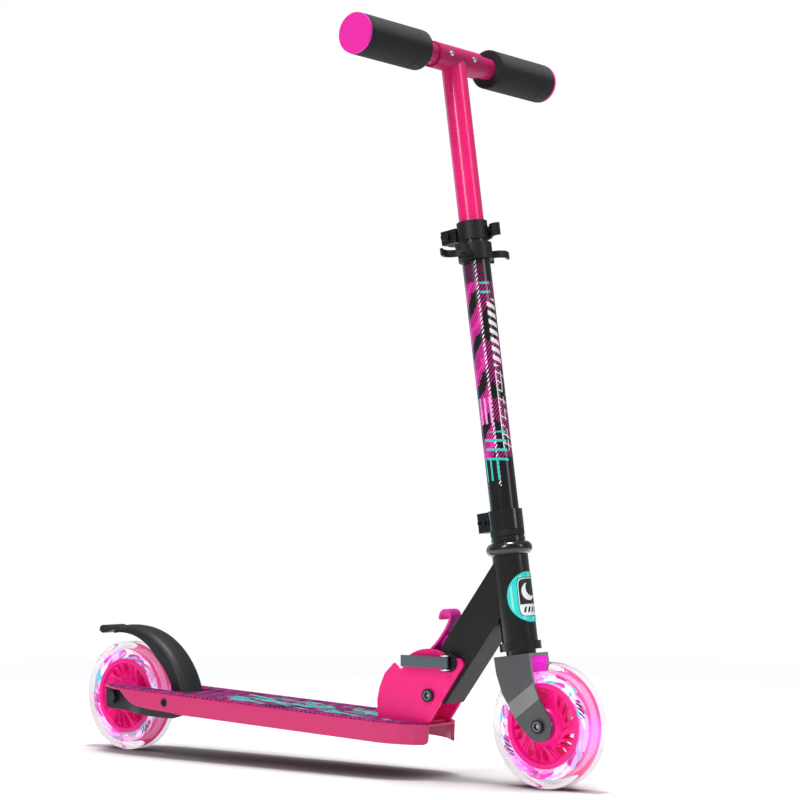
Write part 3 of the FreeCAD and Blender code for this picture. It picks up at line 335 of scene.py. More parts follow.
# ---- finishes --------------------------------------------------------------------------------
@dataclass(frozen=True)
class Finish:
    """A plain coloured finish with grain, faint handling marks and softened edges."""

    name: str
    colour: str
    roughness: float = 0.4
    metallic: float = 0.0
    coat: float = 0.0
    coat_roughness: float = 0.08
    grain: float = 900.0
    grain_depth: float = 0.02
    grain_share: float = 0.3
    tone_depth: float = 0.06
    edge: float = 0.0005
    sheen: float = 0.0
    specular: float = 0.5
    glow: float = 0.0

    def colours(self, wires: Wiring) -> Union[Socket, Colour]:
        """The colour before handling marks; patterned finishes draw theirs here."""
        return shade(self.colour)

    def make(self) -> bpy.types.Material:
        """Build the material.

        Returns:
            The finished material.
        """
        material = bpy.data.materials.new(self.name)
        material.use_nodes = True
        tree = material.node_tree
        tree.nodes.clear()
        wires = Wiring(tree)
        skin = wires.node("BsdfPrincipled")
        wires.feed(wires.node("OutputMaterial").inputs["Surface"], skin.outputs[0])
        grain = wires.node("Group", node_tree=SharedEffects.grain())
        wires.fill(grain, {"Fine": self.grain, "Share": self.grain_share})
        marks = wires.node("Group", node_tree=SharedEffects.handling())
        paint = self.colours(wires)
        wires.fill(marks, {"Colour": paint, "Depth": self.tone_depth, "Polish": self.roughness,
                           "Patch": grain.outputs["Patch"]})
        wires.fill(skin, {"Base Color": marks.outputs["Colour"], "Roughness": marks.outputs["Roughness"],
                          "Metallic": self.metallic, "Coat Weight": self.coat,
                          "Coat Roughness": self.coat_roughness, "Sheen Weight": self.sheen,
                          "Specular IOR Level": self.specular})
        if self.glow:
            wires.fill(skin, {"Emission Color": self.glowing(wires, paint), "Emission Strength": self.glow})
        bump = wires.node("Bump")
        wires.fill(bump, {"Strength": 1.0, "Distance": self.grain_depth * MM,
                          "Height": grain.outputs["Height"]})
        if self.edge:
            soft = wires.node("Bevel", samples=4)
            soft.inputs["Radius"].default_value = self.edge
            wires.feed(bump.inputs["Normal"], soft.outputs[0])
        wires.feed(skin.inputs["Normal"], bump.outputs[0])
        self.finish(wires, skin)
        return material

    def glowing(self, wires: Wiring, paint: Union[Socket, Colour]) -> Union[Socket, Colour]:
        """The colour of the light this finish gives off."""
        return paint

    def finish(self, wires: Wiring, skin: bpy.types.Node) -> None:
        """A chance for a special finish to change the shader."""


@dataclass(frozen=True)
class ClearUrethane(Finish):
    """Clear cast urethane of the tyres."""

    index: float = 1.12

    def finish(self, wires: Wiring, skin: bpy.types.Node) -> None:
        """Let light through with a low bend."""
        wires.fill(skin, {"Transmission Weight": 1.0, "IOR": self.index})


@dataclass(frozen=True)
class LitFork(Finish):
    """Graphite paint; the glow of the wheel's lights on the inner faces of the blades is painted in as
    emission.
    """

    painted_glow_colour: str = "FF22E0"
    painted_highlight_slope: tuple[float, float] = (0.05, 0.3)
    inward_limit: float = -0.008
    painted_glow_centre: tuple[float, float] = (0.014, 0.058)
    painted_glow_reach: float = 0.042

    def colours(self, wires: Wiring) -> Socket:
        """Painted highlight: a paler grey where the blades crank outwards, on faces tilted slightly up
        towards the top light.
        """
        _, _, slope = wires.split(wires.node("NewGeometry").outputs["True Normal"])
        # painted highlight: faces whose normal tilts slightly up get a paler grey in place of the top light
        # they catch
        return wires.mix(wires.band(slope, *self.painted_highlight_slope), shade(self.colour), shade("8F908E"))

    def glowing(self, wires: Wiring, paint: Union[Socket, Colour]) -> Socket:
        """Painted glow: emission on the inner faces only, strongest just above the wheel, for the light of
        the wheel's lamps.
        """
        x, y, z = wires.here(Wheel.FRONT.axle)
        _, sideways, _ = wires.split(wires.node("NewGeometry").outputs["Normal"])
        inward = wires.below(wires.times(sideways, y), self.inward_limit)
        behind, over = self.painted_glow_centre
        far = wires.distance(wires.add(x, behind), wires.add(z, -over))
        fade = wires.less(1.15, wires.math("DIVIDE", far, self.painted_glow_reach))
        fade = wires.math("MAXIMUM", wires.math("MINIMUM", fade, 1.0), 0.0)
        lit = wires.times(inward, fade)
        # painted glow colour on the inner faces near the wheel
        return wires.mix(lit, UNLIT, shade(self.painted_glow_colour))


@dataclass(frozen=True)
class RingedHead(Finish):
    """Bolt heads with a painted highlight ring round a painted bright socket; both bolts run along Y."""

    node: str = ""
    ring: tuple[float, float] = (0.0036, 0.0045)
    socket: float = 0.0021

    def colours(self, wires: Wiring) -> Socket:
        """Painted highlights: paler on a ring and in the socket, standing in for light on a domed head."""
        low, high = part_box(self.node)
        x, _, z = wires.here((low + high) / 2)
        far = wires.distance(x, z)
        # painted highlights: a paler ring and a bright socket
        ring = wires.mix(wires.band(far, *self.ring), shade(self.colour), shade("8E9296"))
        return wires.mix(wires.band(far, -1.0, self.socket), ring, shade("C9CDD1"))


@dataclass(frozen=True)
class ColumnPrint(Finish):
    """Black tube with a printed wrap of slanted strokes, dashes and blocks."""

    low: float = 0.234
    high: float = 0.460
    radius: float = 0.014
    seam: float = -0.0135
    stroke_period: float = 0.041

    def colours(self, wires: Wiring) -> Socket:
        """Draw the wrap from the height up the column and the way round it."""
        ahead, across, height = wires.here(COLUMN_FOOT, -LEAN)
        angle = wires.math("ARCTAN2", across, ahead)
        around = wires.times(angle, self.radius)
        black, magenta, white, teal = (shade(c) for c in ("0B0A0D", "F52BB0", "FFF4FB", "3FD0CC"))
        steep = wires.less(height, wires.times(around, 1.25))
        wander = wires.times(wires.less(wires.noise(120.0, 3.0), 0.5), 0.016)
        rough_steep = wires.add(steep, wander)
        fine = wires.stripes(steep, 0.0033, 0.6)
        core = wires.stripes(wires.add(rough_steep, -0.008), self.stroke_period, 0.16)
        spread = wires.times(wires.stripes(rough_steep, self.stroke_period, 0.68), fine)
        left = wires.band(around, -0.044, self.seam)
        right = wires.band(around, self.seam, 0.030)
        body = wires.band(height, 0.262, 0.438)
        patches = wires.times(wires.either(core, spread), left, body)
        loose = wires.times(wires.stripes(steep, 0.0044, 0.42), right, body,
                            wires.above(wires.noise(38.0), 0.46))
        colour = wires.mix(loose, black, shade("C81E8C"))
        colour = wires.mix(patches, colour, magenta)
        fade = wires.times(wires.band(height, 0.436, 0.456), wires.stripes(steep, 0.0036, 0.34))
        colour = wires.mix(wires.times(fade, wires.band(around, -0.034, -0.004)), colour, shade("9A1A6C"))
        dashes = wires.times(wires.band(around, -0.0158, -0.0136), wires.stripes(steep, 0.0044, 0.46),
                             wires.band(height, self.low, self.high))
        colour = wires.mix(dashes, colour, white)
        lean = wires.add(height, wires.times(around, 0.45))
        blocks = wires.times(wires.band(around, -0.0076, 0.0030), wires.stripes(lean, 0.0089, 0.52),
                             wires.band(height, 0.352, 0.420))
        lattice = wires.either(wires.stripes(wires.add(around, 0.001), 0.0062, 0.16),
                               wires.stripes(lean, 0.0088, 0.13))
        frames = wires.times(lattice, wires.band(around, -0.0072, 0.0056), wires.band(height, 0.268, 0.348),
                             wires.above(wires.noise(90.0, 0.0), 0.44))
        bars = wires.times(wires.stripes(around, 0.0056, 0.4), left, wires.band(height, 0.296, 0.322))
        colour = wires.mix(bars, colour, shade("FFA8E8"))
        colour = wires.mix(wires.either(blocks, frames), colour, white)
        rungs = wires.times(wires.stripes(wires.add(height, wires.times(around, 0.12)), 0.0092, 0.27),
                            wires.band(around, -0.0262, -0.003), wires.band(height, 0.258, 0.288))
        posts = wires.times(wires.stripes(wires.add(around, 0.0018), 0.0071, 0.3),
                            wires.band(around, -0.0300, -0.0125), wires.band(height, 0.240, 0.262))
        tab = wires.times(wires.band(around, -0.0125, -0.002), wires.band(height, 0.420, 0.437),
                          wires.stripes(wires.add(height, 0.002), 0.0095, 0.26))
        return wires.mix(wires.either(rungs, posts, tab), colour, teal)


@dataclass(frozen=True)
class DeckPrint(Finish):
    """Dark gritty sheet with dotted magenta hatch and streaks of teal."""

    rim: float = 0.0405
    splash_long: tuple[float, float] = (-0.125, 0.112)
    splash_wide: tuple[float, float] = (-0.029, 0.026)

    def colours(self, wires: Wiring) -> Socket:
        """Draw the print along and across the deck."""
        x, y, _ = wires.here()
        dark, plum, magenta, teal = (shade(c) for c in ("120716", "35103A", "BC2A8C", "33BDB6"))
        streak = wires.noise(1.0, 3.0, wires.joined(wires.times(x, 14.0), wires.times(y, 60.0), 0.0))
        skew = wires.add(y, wires.times(x, 0.22))
        blocks = wires.noise(1.0, 2.0, wires.joined(wires.times(x, 20.0), wires.times(skew, 90.0), 3.0))
        colour = wires.mix(wires.above(blocks, 0.5), dark, plum)
        dots = wires.times(wires.stripes(x, 0.0042, 0.5), wires.stripes(skew, 0.0036, 0.45))
        dashes = wires.times(wires.stripes(wires.add(x, wires.times(y, 2.0)), 0.0115, 0.42),
                             wires.stripes(skew, 0.0064, 0.42))
        dots = wires.either(dots, dashes)
        hatch = wires.times(dots, wires.above(streak, 0.42))
        colour = wires.mix(hatch, colour, magenta)
        rim = wires.above(wires.size(y), self.rim)
        colour = wires.mix(wires.times(rim, wires.stripes(wires.add(x, y), 0.006, 0.5)), colour, magenta)
        splash = wires.noise(1.0, 2.0, wires.joined(wires.times(wires.add(x, skew), 17.0),
                                                   wires.times(skew, 95.0), 7.0))
        where = wires.times(wires.band(x, *self.splash_long), wires.band(y, *self.splash_wide))
        streaks = wires.times(wires.above(splash, 0.5), where, wires.stripes(skew, 0.0075, 0.66))
        return wires.mix(streaks, colour, teal)


@dataclass(frozen=True)
class WheelPrint(Finish):
    """Patches of white, teal and magenta printed on the band in a tyre."""

    wheel: Wheel = Wheel.FRONT
    phase: float = 0.0
    lobe: float = -2.0
    half_width: float = 0.009
    ring: float = 0.046
    tread_middle: float = 0.0036

    def colours(self, wires: Wiring) -> Socket:
        """Draw patches and hatch round the axle."""
        x, y, z = wires.here(self.wheel.axle)
        turn = wires.add(wires.math("ARCTAN2", z, x), self.phase)
        arc = wires.times(turn, self.ring)
        across = wires.less(wires.distance(x, z), self.ring)
        slant = wires.add(arc, wires.times(across, 1.4))
        cells = wires.node("TexVoronoi")
        at = wires.joined(wires.times(slant, 120.0), wires.times(across, 260.0),
                          wires.times(wires.math("SIGN", y), 3.0))
        wires.fill(cells, {"Scale": 1.0, "Vector": at})
        pick = wires.node("SeparateColor")
        wires.feed(pick.inputs[0], cells.outputs["Color"])
        magenta = shade("EE2CB4")
        colour = shade("F6E4F8")
        for chance, patch in ((0.44, shade("F0A0E4")), (0.56, magenta), (0.78, shade("3CCDE0"))):
            colour = wires.mix(wires.above(pick.outputs[0], chance), colour, patch)
        hatch = wires.times(wires.stripes(slant, 0.0022, 0.42), wires.above(pick.outputs[1], 0.6))
        colour = wires.mix(hatch, colour, magenta)
        nicks = wires.times(wires.stripes(slant, 0.0018, 0.5), wires.above(pick.outputs[2], 0.84))
        colour = wires.mix(nicks, colour, shade("5A1466"))
        marks = wires.times(wires.stripes(slant, 0.0052, 0.55), wires.band(across, -0.0024, 0.0026),
                            wires.either(wires.band(turn, 0.30, 0.72), wires.band(turn, -2.75, -2.32)))
        colour = wires.mix(marks, colour, shade("120A18"))
        side = wires.above(wires.size(y), self.half_width - 0.0002)
        edge = wires.above(wires.size(y), self.tread_middle)
        tread = wires.mix(edge, shade("F286B6"), shade("EE3A8A"))
        return wires.mix(side, tread, colour)

    def glowing(self, wires: Wiring, paint: Union[Socket, Colour]) -> Socket:
        """Painted glow: emission in three soft lobes round the wheel stands in for the wheel's lights shining
        on the band and for studio light that the clear tyre keeps off it.
        """
        x, _, z = wires.here(self.wheel.axle)
        turn = wires.add(wires.math("ARCTAN2", z, x), self.lobe)
        lobe = wires.math("MAXIMUM", wires.math("COSINE", wires.times(turn, 3.0)), 0.0)
        # painted glow: a base level over the whole band, brighter in the lobes
        level = wires.add(wires.times(wires.math("POWER", lobe, 3.0), 0.5), 0.62)
        bright = wires.mix(wires.math("POWER", lobe, 2.0), paint, shade("FF6CF4"))
        return wires.mix(level, UNLIT, bright)


@dataclass(frozen=True)
class BadgePrint(Finish):
    """Cyan disc with a dark rounded plate, a plain crescent and a white foot panel."""

    height: float = 0.1245

    def colours(self, wires: Wiring) -> Socket:
        """Draw the plate from the height and the way across the badge."""
        ahead, across, height = wires.here(COLUMN_FOOT, -LEAN)
        side = wires.times(wires.math("ARCTAN2", across, ahead), 0.0178)
        up = wires.less(height, self.height)
        cyan, white, dark = shade("37E3DC"), shade("F4FBFB"), shade("26282A")
        inside = wires.below(wires.distance(side, up), 0.023)
        colour = wires.mix(wires.times(wires.stripes(side, 0.0105, 0.2), inside), cyan, shade("9DF3EE"))

        def plate(half_wide: float, half_tall: float) -> Socket:
            """A mask of a rounded plate."""
            wide = wires.math("POWER", wires.math("DIVIDE", wires.size(side), half_wide), 6.0)
            tall = wires.math("POWER", wires.math("DIVIDE", wires.size(up), half_tall), 6.0)
            return wires.below(wires.add(wide, tall), 1.0)

        colour = wires.mix(plate(0.0142, 0.0190), colour, dark)
        colour = wires.mix(plate(0.0135, 0.0183), colour, white)
        upper = wires.above(up, -0.0072)
        colour = wires.mix(wires.times(plate(0.0126, 0.0174), upper), colour, dark)
        outer = wires.distance(wires.add(side, 0.001), wires.add(up, -0.0052))
        inner = wires.distance(wires.add(side, -0.0028), wires.add(up, -0.0084))
        moon = wires.times(wires.below(outer, 0.0088), wires.above(inner, 0.0078))
        colour = wires.mix(moon, colour, white)
        slant = wires.add(side, wires.times(up, -0.35))
        bars = wires.times(wires.stripes(slant, 0.0046, 0.55), wires.band(up, -0.0150, -0.0098),
                           wires.band(side, -0.0095, 0.0095))
        return wires.mix(bars, colour, dark)


PINK = Finish("pink_paint", "FF1A85", roughness=0.42, coat=0.1, grain_depth=0.012, edge=0.0007,
              specular=0.35)
# painted shade: the deck pan gets a darker copy of the pink paint, for the less light its sides catch
PINK_DECK_SHADED = Finish("pink_deck_shaded_paint", "D3156A", roughness=0.34, coat=0.2, grain_depth=0.012, edge=0.0009)
PINK_TUBE = Finish("pink_tube_paint", "FF1A7C", roughness=0.28, coat=0.4, grain_depth=0.004, specular=0.4)
# painted shade: the bar sleeve and handlebars get a darker copy of the pink paint
PINK_BAR_SHADED = Finish("pink_bar_shaded_paint", "B51C60", roughness=0.36, coat=0.15, grain_depth=0.012, specular=0.35)
PINK_HOOK = Finish("pink_hook_paint", "EE2AB0", roughness=0.42, coat=0.1, grain_depth=0.012,
                   specular=0.35)
BLACK_GLOSS = Finish("black_gloss_paint", "0C0C0E", roughness=0.24, coat=0.7, grain_depth=0.003)
BLACK_SATIN = Finish("black_satin_paint", "121314", roughness=0.46, coat=0.05, grain_depth=0.012,
                     specular=0.35)
BLACK_MATT = Finish("black_ring_plastic", "151517", roughness=0.5, grain=1400.0, grain_depth=0.015,
                    specular=0.4)
DROPOUT = Finish("black_plate_paint", "1D2023", roughness=0.5, coat=0.05, grain_depth=0.015, specular=0.4)
# glow sets the strength of the fork's painted glow
GRAPHITE = LitFork("fork_paint", "56585A", roughness=0.42, metallic=0.3, coat=0.1, grain=1600.0,
                   grain_depth=0.008, glow=0.9, specular=0.4)
BLACK_OXIDE = Finish("black_oxide_steel", "3A3E42", roughness=0.3, metallic=0.85, grain=2200.0,
                     grain_depth=0.004, edge=0.0004)
FOLD_HEAD = RingedHead("fold_bolt_steel", "2A2D30", roughness=0.3, metallic=0.6, grain_depth=0.004,
                       edge=0.0004, node="fold_bolt")
AXLE_HEAD = RingedHead("axle_bolt_steel", "2A2D30", roughness=0.3, metallic=0.6, grain_depth=0.004,
                       edge=0.0004, node="front_axle_bolt")
STEEL = Finish("plain_steel", "B8BCC0", roughness=0.3, metallic=1.0, grain=2200.0, grain_depth=0.006,
               edge=0.0003)
LEVER_STEEL = Finish("brushed_lever_steel", "6E7880", roughness=0.36, metallic=1.0, grain=2600.0,
                     grain_depth=0.008, edge=0.0004)
CHROME = Finish("bright_chrome", "E4E6EA", roughness=0.1, metallic=1.0, grain=400.0, grain_depth=0.004,
                tone_depth=0.02, edge=0.0004)
PLASTIC = Finish("black_moulded_plastic", "141517", roughness=0.46, grain=1800.0, grain_depth=0.02,
                 edge=0.0008, specular=0.45)
FENDER = Finish("fender_plastic", "1B1D1F", roughness=0.5, grain=2100.0, grain_depth=0.03, edge=0.0006,
                specular=0.4)
TYRE = ClearUrethane("clear_urethane", "E9E2E6", roughness=0.04, coat=0.6, grain=300.0, grain_depth=0.002,
                     edge=0.0, tone_depth=0.01)
FOAM = Finish("grip_foam", "232527", roughness=0.92, grain=2600.0, grain_depth=0.16, grain_share=0.12,
              tone_depth=0.12, edge=0.0, sheen=0.12, specular=0.2)
CAP = Finish("end_cap_plastic", "FF2CB6", roughness=0.5, grain=1500.0, grain_depth=0.015, edge=0.0008,
             specular=0.3)
# glow: a faint painted glow that makes the moulded core look lit
CORE_PINK = Finish("wheel_core_plastic", "FB1590", roughness=0.36, grain=700.0, grain_depth=0.006,
                   glow=0.04, edge=0.0, specular=0.4)
LAMP = Finish("light_ring_plastic", "FFD8F8", roughness=0.2, grain_depth=0.004, glow=2.0)
COLUMN_WRAP = ColumnPrint("column_print", "0B0A0D", roughness=0.26, coat=0.4, grain_depth=0.003,
                          tone_depth=0.03)
DECK_SHEET = DeckPrint("deck_print", "1B1024", roughness=0.7, grain=1500.0, grain_depth=0.10, edge=0.0,
                       specular=0.25)
# glow sets the strength of the painted glow on each print band
FRONT_PRINT = WheelPrint("front_wheel_print", "FFFFFF", roughness=0.4, grain_depth=0.004, edge=0.0,
                         glow=0.9, wheel=Wheel.FRONT, phase=0.1)
REAR_PRINT = WheelPrint("rear_wheel_print", "FFFFFF", roughness=0.4, grain_depth=0.004, edge=0.0,
                        glow=0.8, wheel=Wheel.REAR, phase=1.3)
BADGE = BadgePrint("badge_print", "37E3DC", roughness=0.25, coat=0.3, grain_depth=0.003, edge=0.0)

CAD_FINISHES: dict[Finish, tuple[str, ...]] = {
    PINK: ("fold_bracket",),
    FOLD_HEAD: ("fold_bolt",),
    AXLE_HEAD: ("front_axle_bolt",),
    PINK_DECK_SHADED: ("deck_pan",),
    PINK_TUBE: ("t_tube",),
    PINK_BAR_SHADED: ("bar_sleeve", "handlebar_left", "handlebar_right"),
    PINK_HOOK: ("latch_hook",),
    BLACK_GLOSS: ("head_tube", "lower_cup", "upper_cup", "stem_collar", "crown_race", "headset_cone"),
    BLACK_SATIN: ("down_tube",),
    BLACK_MATT: ("lock_nut", "fold_washers"),
    DROPOUT: ("rear_dropout_left", "rear_dropout_right"),
    GRAPHITE: ("fork",),
    BLACK_OXIDE: ("rear_axle_bolt", "fender_bolt", "stem_bolt", "deck_nuts",
                  "front_axle_nut"),
    STEEL: ("latch_skewer", "steerer", "headset_balls", "fender_spring", "latch_springs", "button_springs",
            "front_bearings", "rear_bearings", "front_axle_spacers", "rear_axle_spacers"),
    LEVER_STEEL: ("latch_lever",),
    CHROME: ("latch_hub", "latch_nut", "snap_button_left", "snap_button_right"),
    PLASTIC: ("clip_holder", "height_clamp", "height_lever", "clamp_nut", "clamp_bolt"),
    FENDER: ("fender",),
    TYRE: ("front_tyre", "rear_tyre"),
    CAP: ("end_caps",),
    CORE_PINK: ("front_wheel_core", "rear_wheel_core"),
    LAMP: ("front_light_sleeve", "rear_light_sleeve"),
    COLUMN_WRAP: ("outer_tube",),
    DECK_SHEET: ("deck_grip",),
    FRONT_PRINT: ("front_print_band",),
    REAR_PRINT: ("rear_print_band",),
    FOAM: ("grip_left", "grip_right"),
}


class PaintShop:
    """Makes each finish once and puts it on CAD nodes and pieces."""

    def __init__(self) -> None:
        """Start with no finish made."""
        self.made: dict[str, bpy.types.Material] = {}

    def material(self, finish: Finish) -> bpy.types.Material:
        """The material of a finish, made on first use."""
        if finish.name not in self.made:
            self.made[finish.name] = finish.make()
        return self.made[finish.name]

    def coat_piece(self, piece: bpy.types.Object, finish: Finish) -> None:
        """Give a new piece its one finish."""
        piece.data.materials.clear()
        piece.data.materials.append(self.material(finish))

    def coat_frame(self) -> None:
        """Give every CAD node its finish."""
        for finish, nodes in CAD_FINISHES.items():
            for name in nodes:
                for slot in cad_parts[name].material_slots:
                    slot.material = self.material(finish)
        missing = set(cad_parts) - {n for nodes in CAD_FINISHES.values() for n in nodes}
        LOG.info("CAD nodes finished; without a finish: %s", sorted(missing) or "none")


# ---- modelling -------------------------------------------------------------------------------
class Bench:
    """Shapes one piece at a time with the usual modelling tools."""

    @staticmethod
    def clear() -> None:
        """Leave edit mode and deselect everything."""
        if bpy.context.object and bpy.context.object.mode != "OBJECT":
            bpy.ops.object.mode_set(mode="OBJECT")
        bpy.ops.object.select_all(action="DESELECT")

    @classmethod
    def hold(cls, *pieces: bpy.types.Object) -> None:
        """Select these pieces, the last one active."""
        cls.clear()
        for piece in pieces:
            piece.select_set(True)
        bpy.context.view_layer.objects.active = pieces[-1]

    @classmethod
    def rod(cls, name: str, radius: float, length: float, sides: int = 96) -> bpy.types.Object:
        """Add a cylinder along Z with closed ends.

        Args:
            name: Name of the piece.
            radius: Outer radius.
            length: Length along Z.
            sides: Number of sides.

        Returns:
            The new object, active and alone in the selection.
        """
        cls.clear()
        bpy.ops.mesh.primitive_cylinder_add(vertices=sides, radius=radius, depth=length)
        piece = bpy.context.object
        piece.name = name
        return piece

    @classmethod
    def block(cls, name: str, size: tuple[float, float, float]) -> bpy.types.Object:
        """Add a block of a given size."""
        cls.clear()
        bpy.ops.mesh.primitive_cube_add(size=1.0, scale=size)
        bpy.ops.object.transform_apply(location=False, rotation=False, scale=True)
        piece = bpy.context.object
        piece.name = name
        return piece

    @staticmethod
    def pick_faces(piece: bpy.types.Object, test: Callable[[Vector, Vector], bool]) -> None:
        """Enter edit mode with the faces selected whose centre and normal pass the test."""
        bpy.ops.object.mode_set(mode="OBJECT")
        mesh = piece.data
        for part in (mesh.vertices, mesh.edges, mesh.polygons):
            part.foreach_set("select", [False] * len(part))
        for face in mesh.polygons:
            face.select = test(face.center, face.normal)
        bpy.ops.object.mode_set(mode="EDIT")
        bpy.ops.mesh.select_mode(type="FACE")

    @staticmethod
    def pick_points(piece: bpy.types.Object, test: Callable[[Vector], bool]) -> None:
        """Enter edit mode with the points selected that pass the test."""
        bpy.ops.object.mode_set(mode="EDIT")
        bpy.ops.mesh.select_mode(type="VERT")
        bpy.ops.object.mode_set(mode="OBJECT")
        mesh = piece.data
        for part in (mesh.vertices, mesh.edges, mesh.polygons):
            part.foreach_set("select", [False] * len(part))
        for point in mesh.vertices:
            point.select = test(point.co)
        bpy.ops.object.mode_set(mode="EDIT")

    @staticmethod
    def cut_rings(heights: tuple[float, ...]) -> None:
        """Cut a ring of edges across the piece at each height, in edit mode."""
        for height in heights:
            bpy.ops.mesh.select_all(action="SELECT")
            bpy.ops.mesh.bisect(plane_co=(0, 0, height), plane_no=(0, 0, 1))

    @classmethod
    def modify(cls, piece: bpy.types.Object, kind: str, **settings: object) -> None:
        """Add a modifier, set it and apply it."""
        cls.hold(piece)
        bpy.ops.object.modifier_add(type=kind)
        modifier = piece.modifiers[-1]
        for name, value in settings.items():
            setattr(modifier, name, value)
        bpy.ops.object.modifier_apply(modifier=modifier.name)

    @classmethod
    def smooth(cls, piece: bpy.types.Object, degrees: float = 35.0) -> None:
        """Shade the piece smooth, with edges sharper than the angle kept."""
        cls.hold(piece)
        bpy.ops.object.shade_smooth_by_angle(angle=math.radians(degrees))

    @classmethod
    def place(cls, piece: bpy.types.Object, where: Matrix) -> None:
        """Move the piece to its place and store the place in its mesh."""
        cls.hold(piece)
        piece.matrix_world = where
        bpy.ops.object.transform_apply(location=True, rotation=True, scale=True)

    @classmethod
    def place_across(cls, piece: bpy.types.Object, centre: Vector) -> None:
        """Turn a piece from the Z axis to the Y axis and move it to its centre."""
        cls.place(piece, Matrix.Translation(centre) @ Matrix.Rotation(math.radians(90), 4, "X"))

    @classmethod
    def bore(cls, piece: bpy.types.Object, wall: float) -> None:
        """Open a rod from end to end, with flat ends that are one wall wide."""

        def is_cap(centre: Vector, normal: Vector) -> bool:
            """True for the flat face in the middle of either end."""
            return abs(normal.z) > 0.9 and centre.xy.length < 0.002

        cls.pick_faces(piece, is_cap)
        bpy.ops.mesh.inset(thickness=wall)
        cls.pick_faces(piece, is_cap)
        bpy.ops.mesh.bridge_edge_loops()
        bpy.ops.object.mode_set(mode="OBJECT")

    @classmethod
    def join(cls, *pieces: bpy.types.Object) -> bpy.types.Object:
        """Join pieces into the last one."""
        cls.hold(*pieces)
        bpy.ops.object.join()
        return bpy.context.object

    @classmethod
    def copy_of(cls, piece: bpy.types.Object) -> bpy.types.Object:
        """A copy with its own mesh."""
        cls.hold(piece)
        bpy.ops.object.duplicate(linked=False)
        return bpy.context.object

    @classmethod
    def tidy(cls, piece: bpy.types.Object) -> None:
        """Merge doubled points and turn the faces outwards."""
        cls.hold(piece)
        bpy.ops.object.mode_set(mode="EDIT")
        bpy.ops.mesh.select_all(action="SELECT")
        bpy.ops.mesh.remove_doubles(threshold=0.00001)
        bpy.ops.mesh.normals_make_consistent(inside=False)
        bpy.ops.object.mode_set(mode="OBJECT")


@dataclass
class FoamGrips:
    """The two foam sleeves pushed on the handlebar."""

    shop: PaintShop
    bar_radius: float = 0.01105
    rim: float = 0.0022
    groove_from_end: float = 0.019
    groove: float = 0.0008

    def build(self) -> list[bpy.types.Object]:
        """Model both grips and dress them."""
        return [self.one(side) for side in Side]

    def one(self, side: Side) -> bpy.types.Object:
        """One grip, in the space of its CAD node.

        Args:
            side: The rider's side.

        Returns:
            The finished grip.
        """
        low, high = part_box("grip_" + side.value)
        middle, length = (low + high) / 2, high.y - low.y
        radius = (high.z - low.z) / 2 - 0.00005
        grip = Bench.rod("foam_grip_" + side.value, radius, length)
        bpy.ops.object.mode_set(mode="EDIT")
        end = length / 2
        line = end - self.groove_from_end
        steps = [line + self.groove * k for k in (-1.6, -0.7, 0.0, 0.7, 1.6)]
        Bench.cut_rings(tuple(steps) + tuple(end * k for k in (-0.75, -0.5, -0.25, 0.0, 0.25)))
        Bench.pick_points(grip, lambda p: abs(p.z - line) < self.groove * 0.3)
        bpy.ops.transform.resize(value=(0.957, 0.957, 1.0), center_override=(0, 0, line))
        Bench.bore(grip, radius - self.bar_radius)
        Bench.modify(grip, "BEVEL", width=self.rim, segments=5, limit_method="ANGLE",
                     angle_limit=math.radians(60))
        Bench.tidy(grip)
        Bench.smooth(grip, 50.0)
        Bench.place(grip, Matrix.Translation(middle) @ Matrix.Rotation(math.radians(-90), 4, "X"))
        self.shop.coat_piece(grip, FOAM)
        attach(grip, "t_bar")
        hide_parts("grip_" + side.value)
        return grip


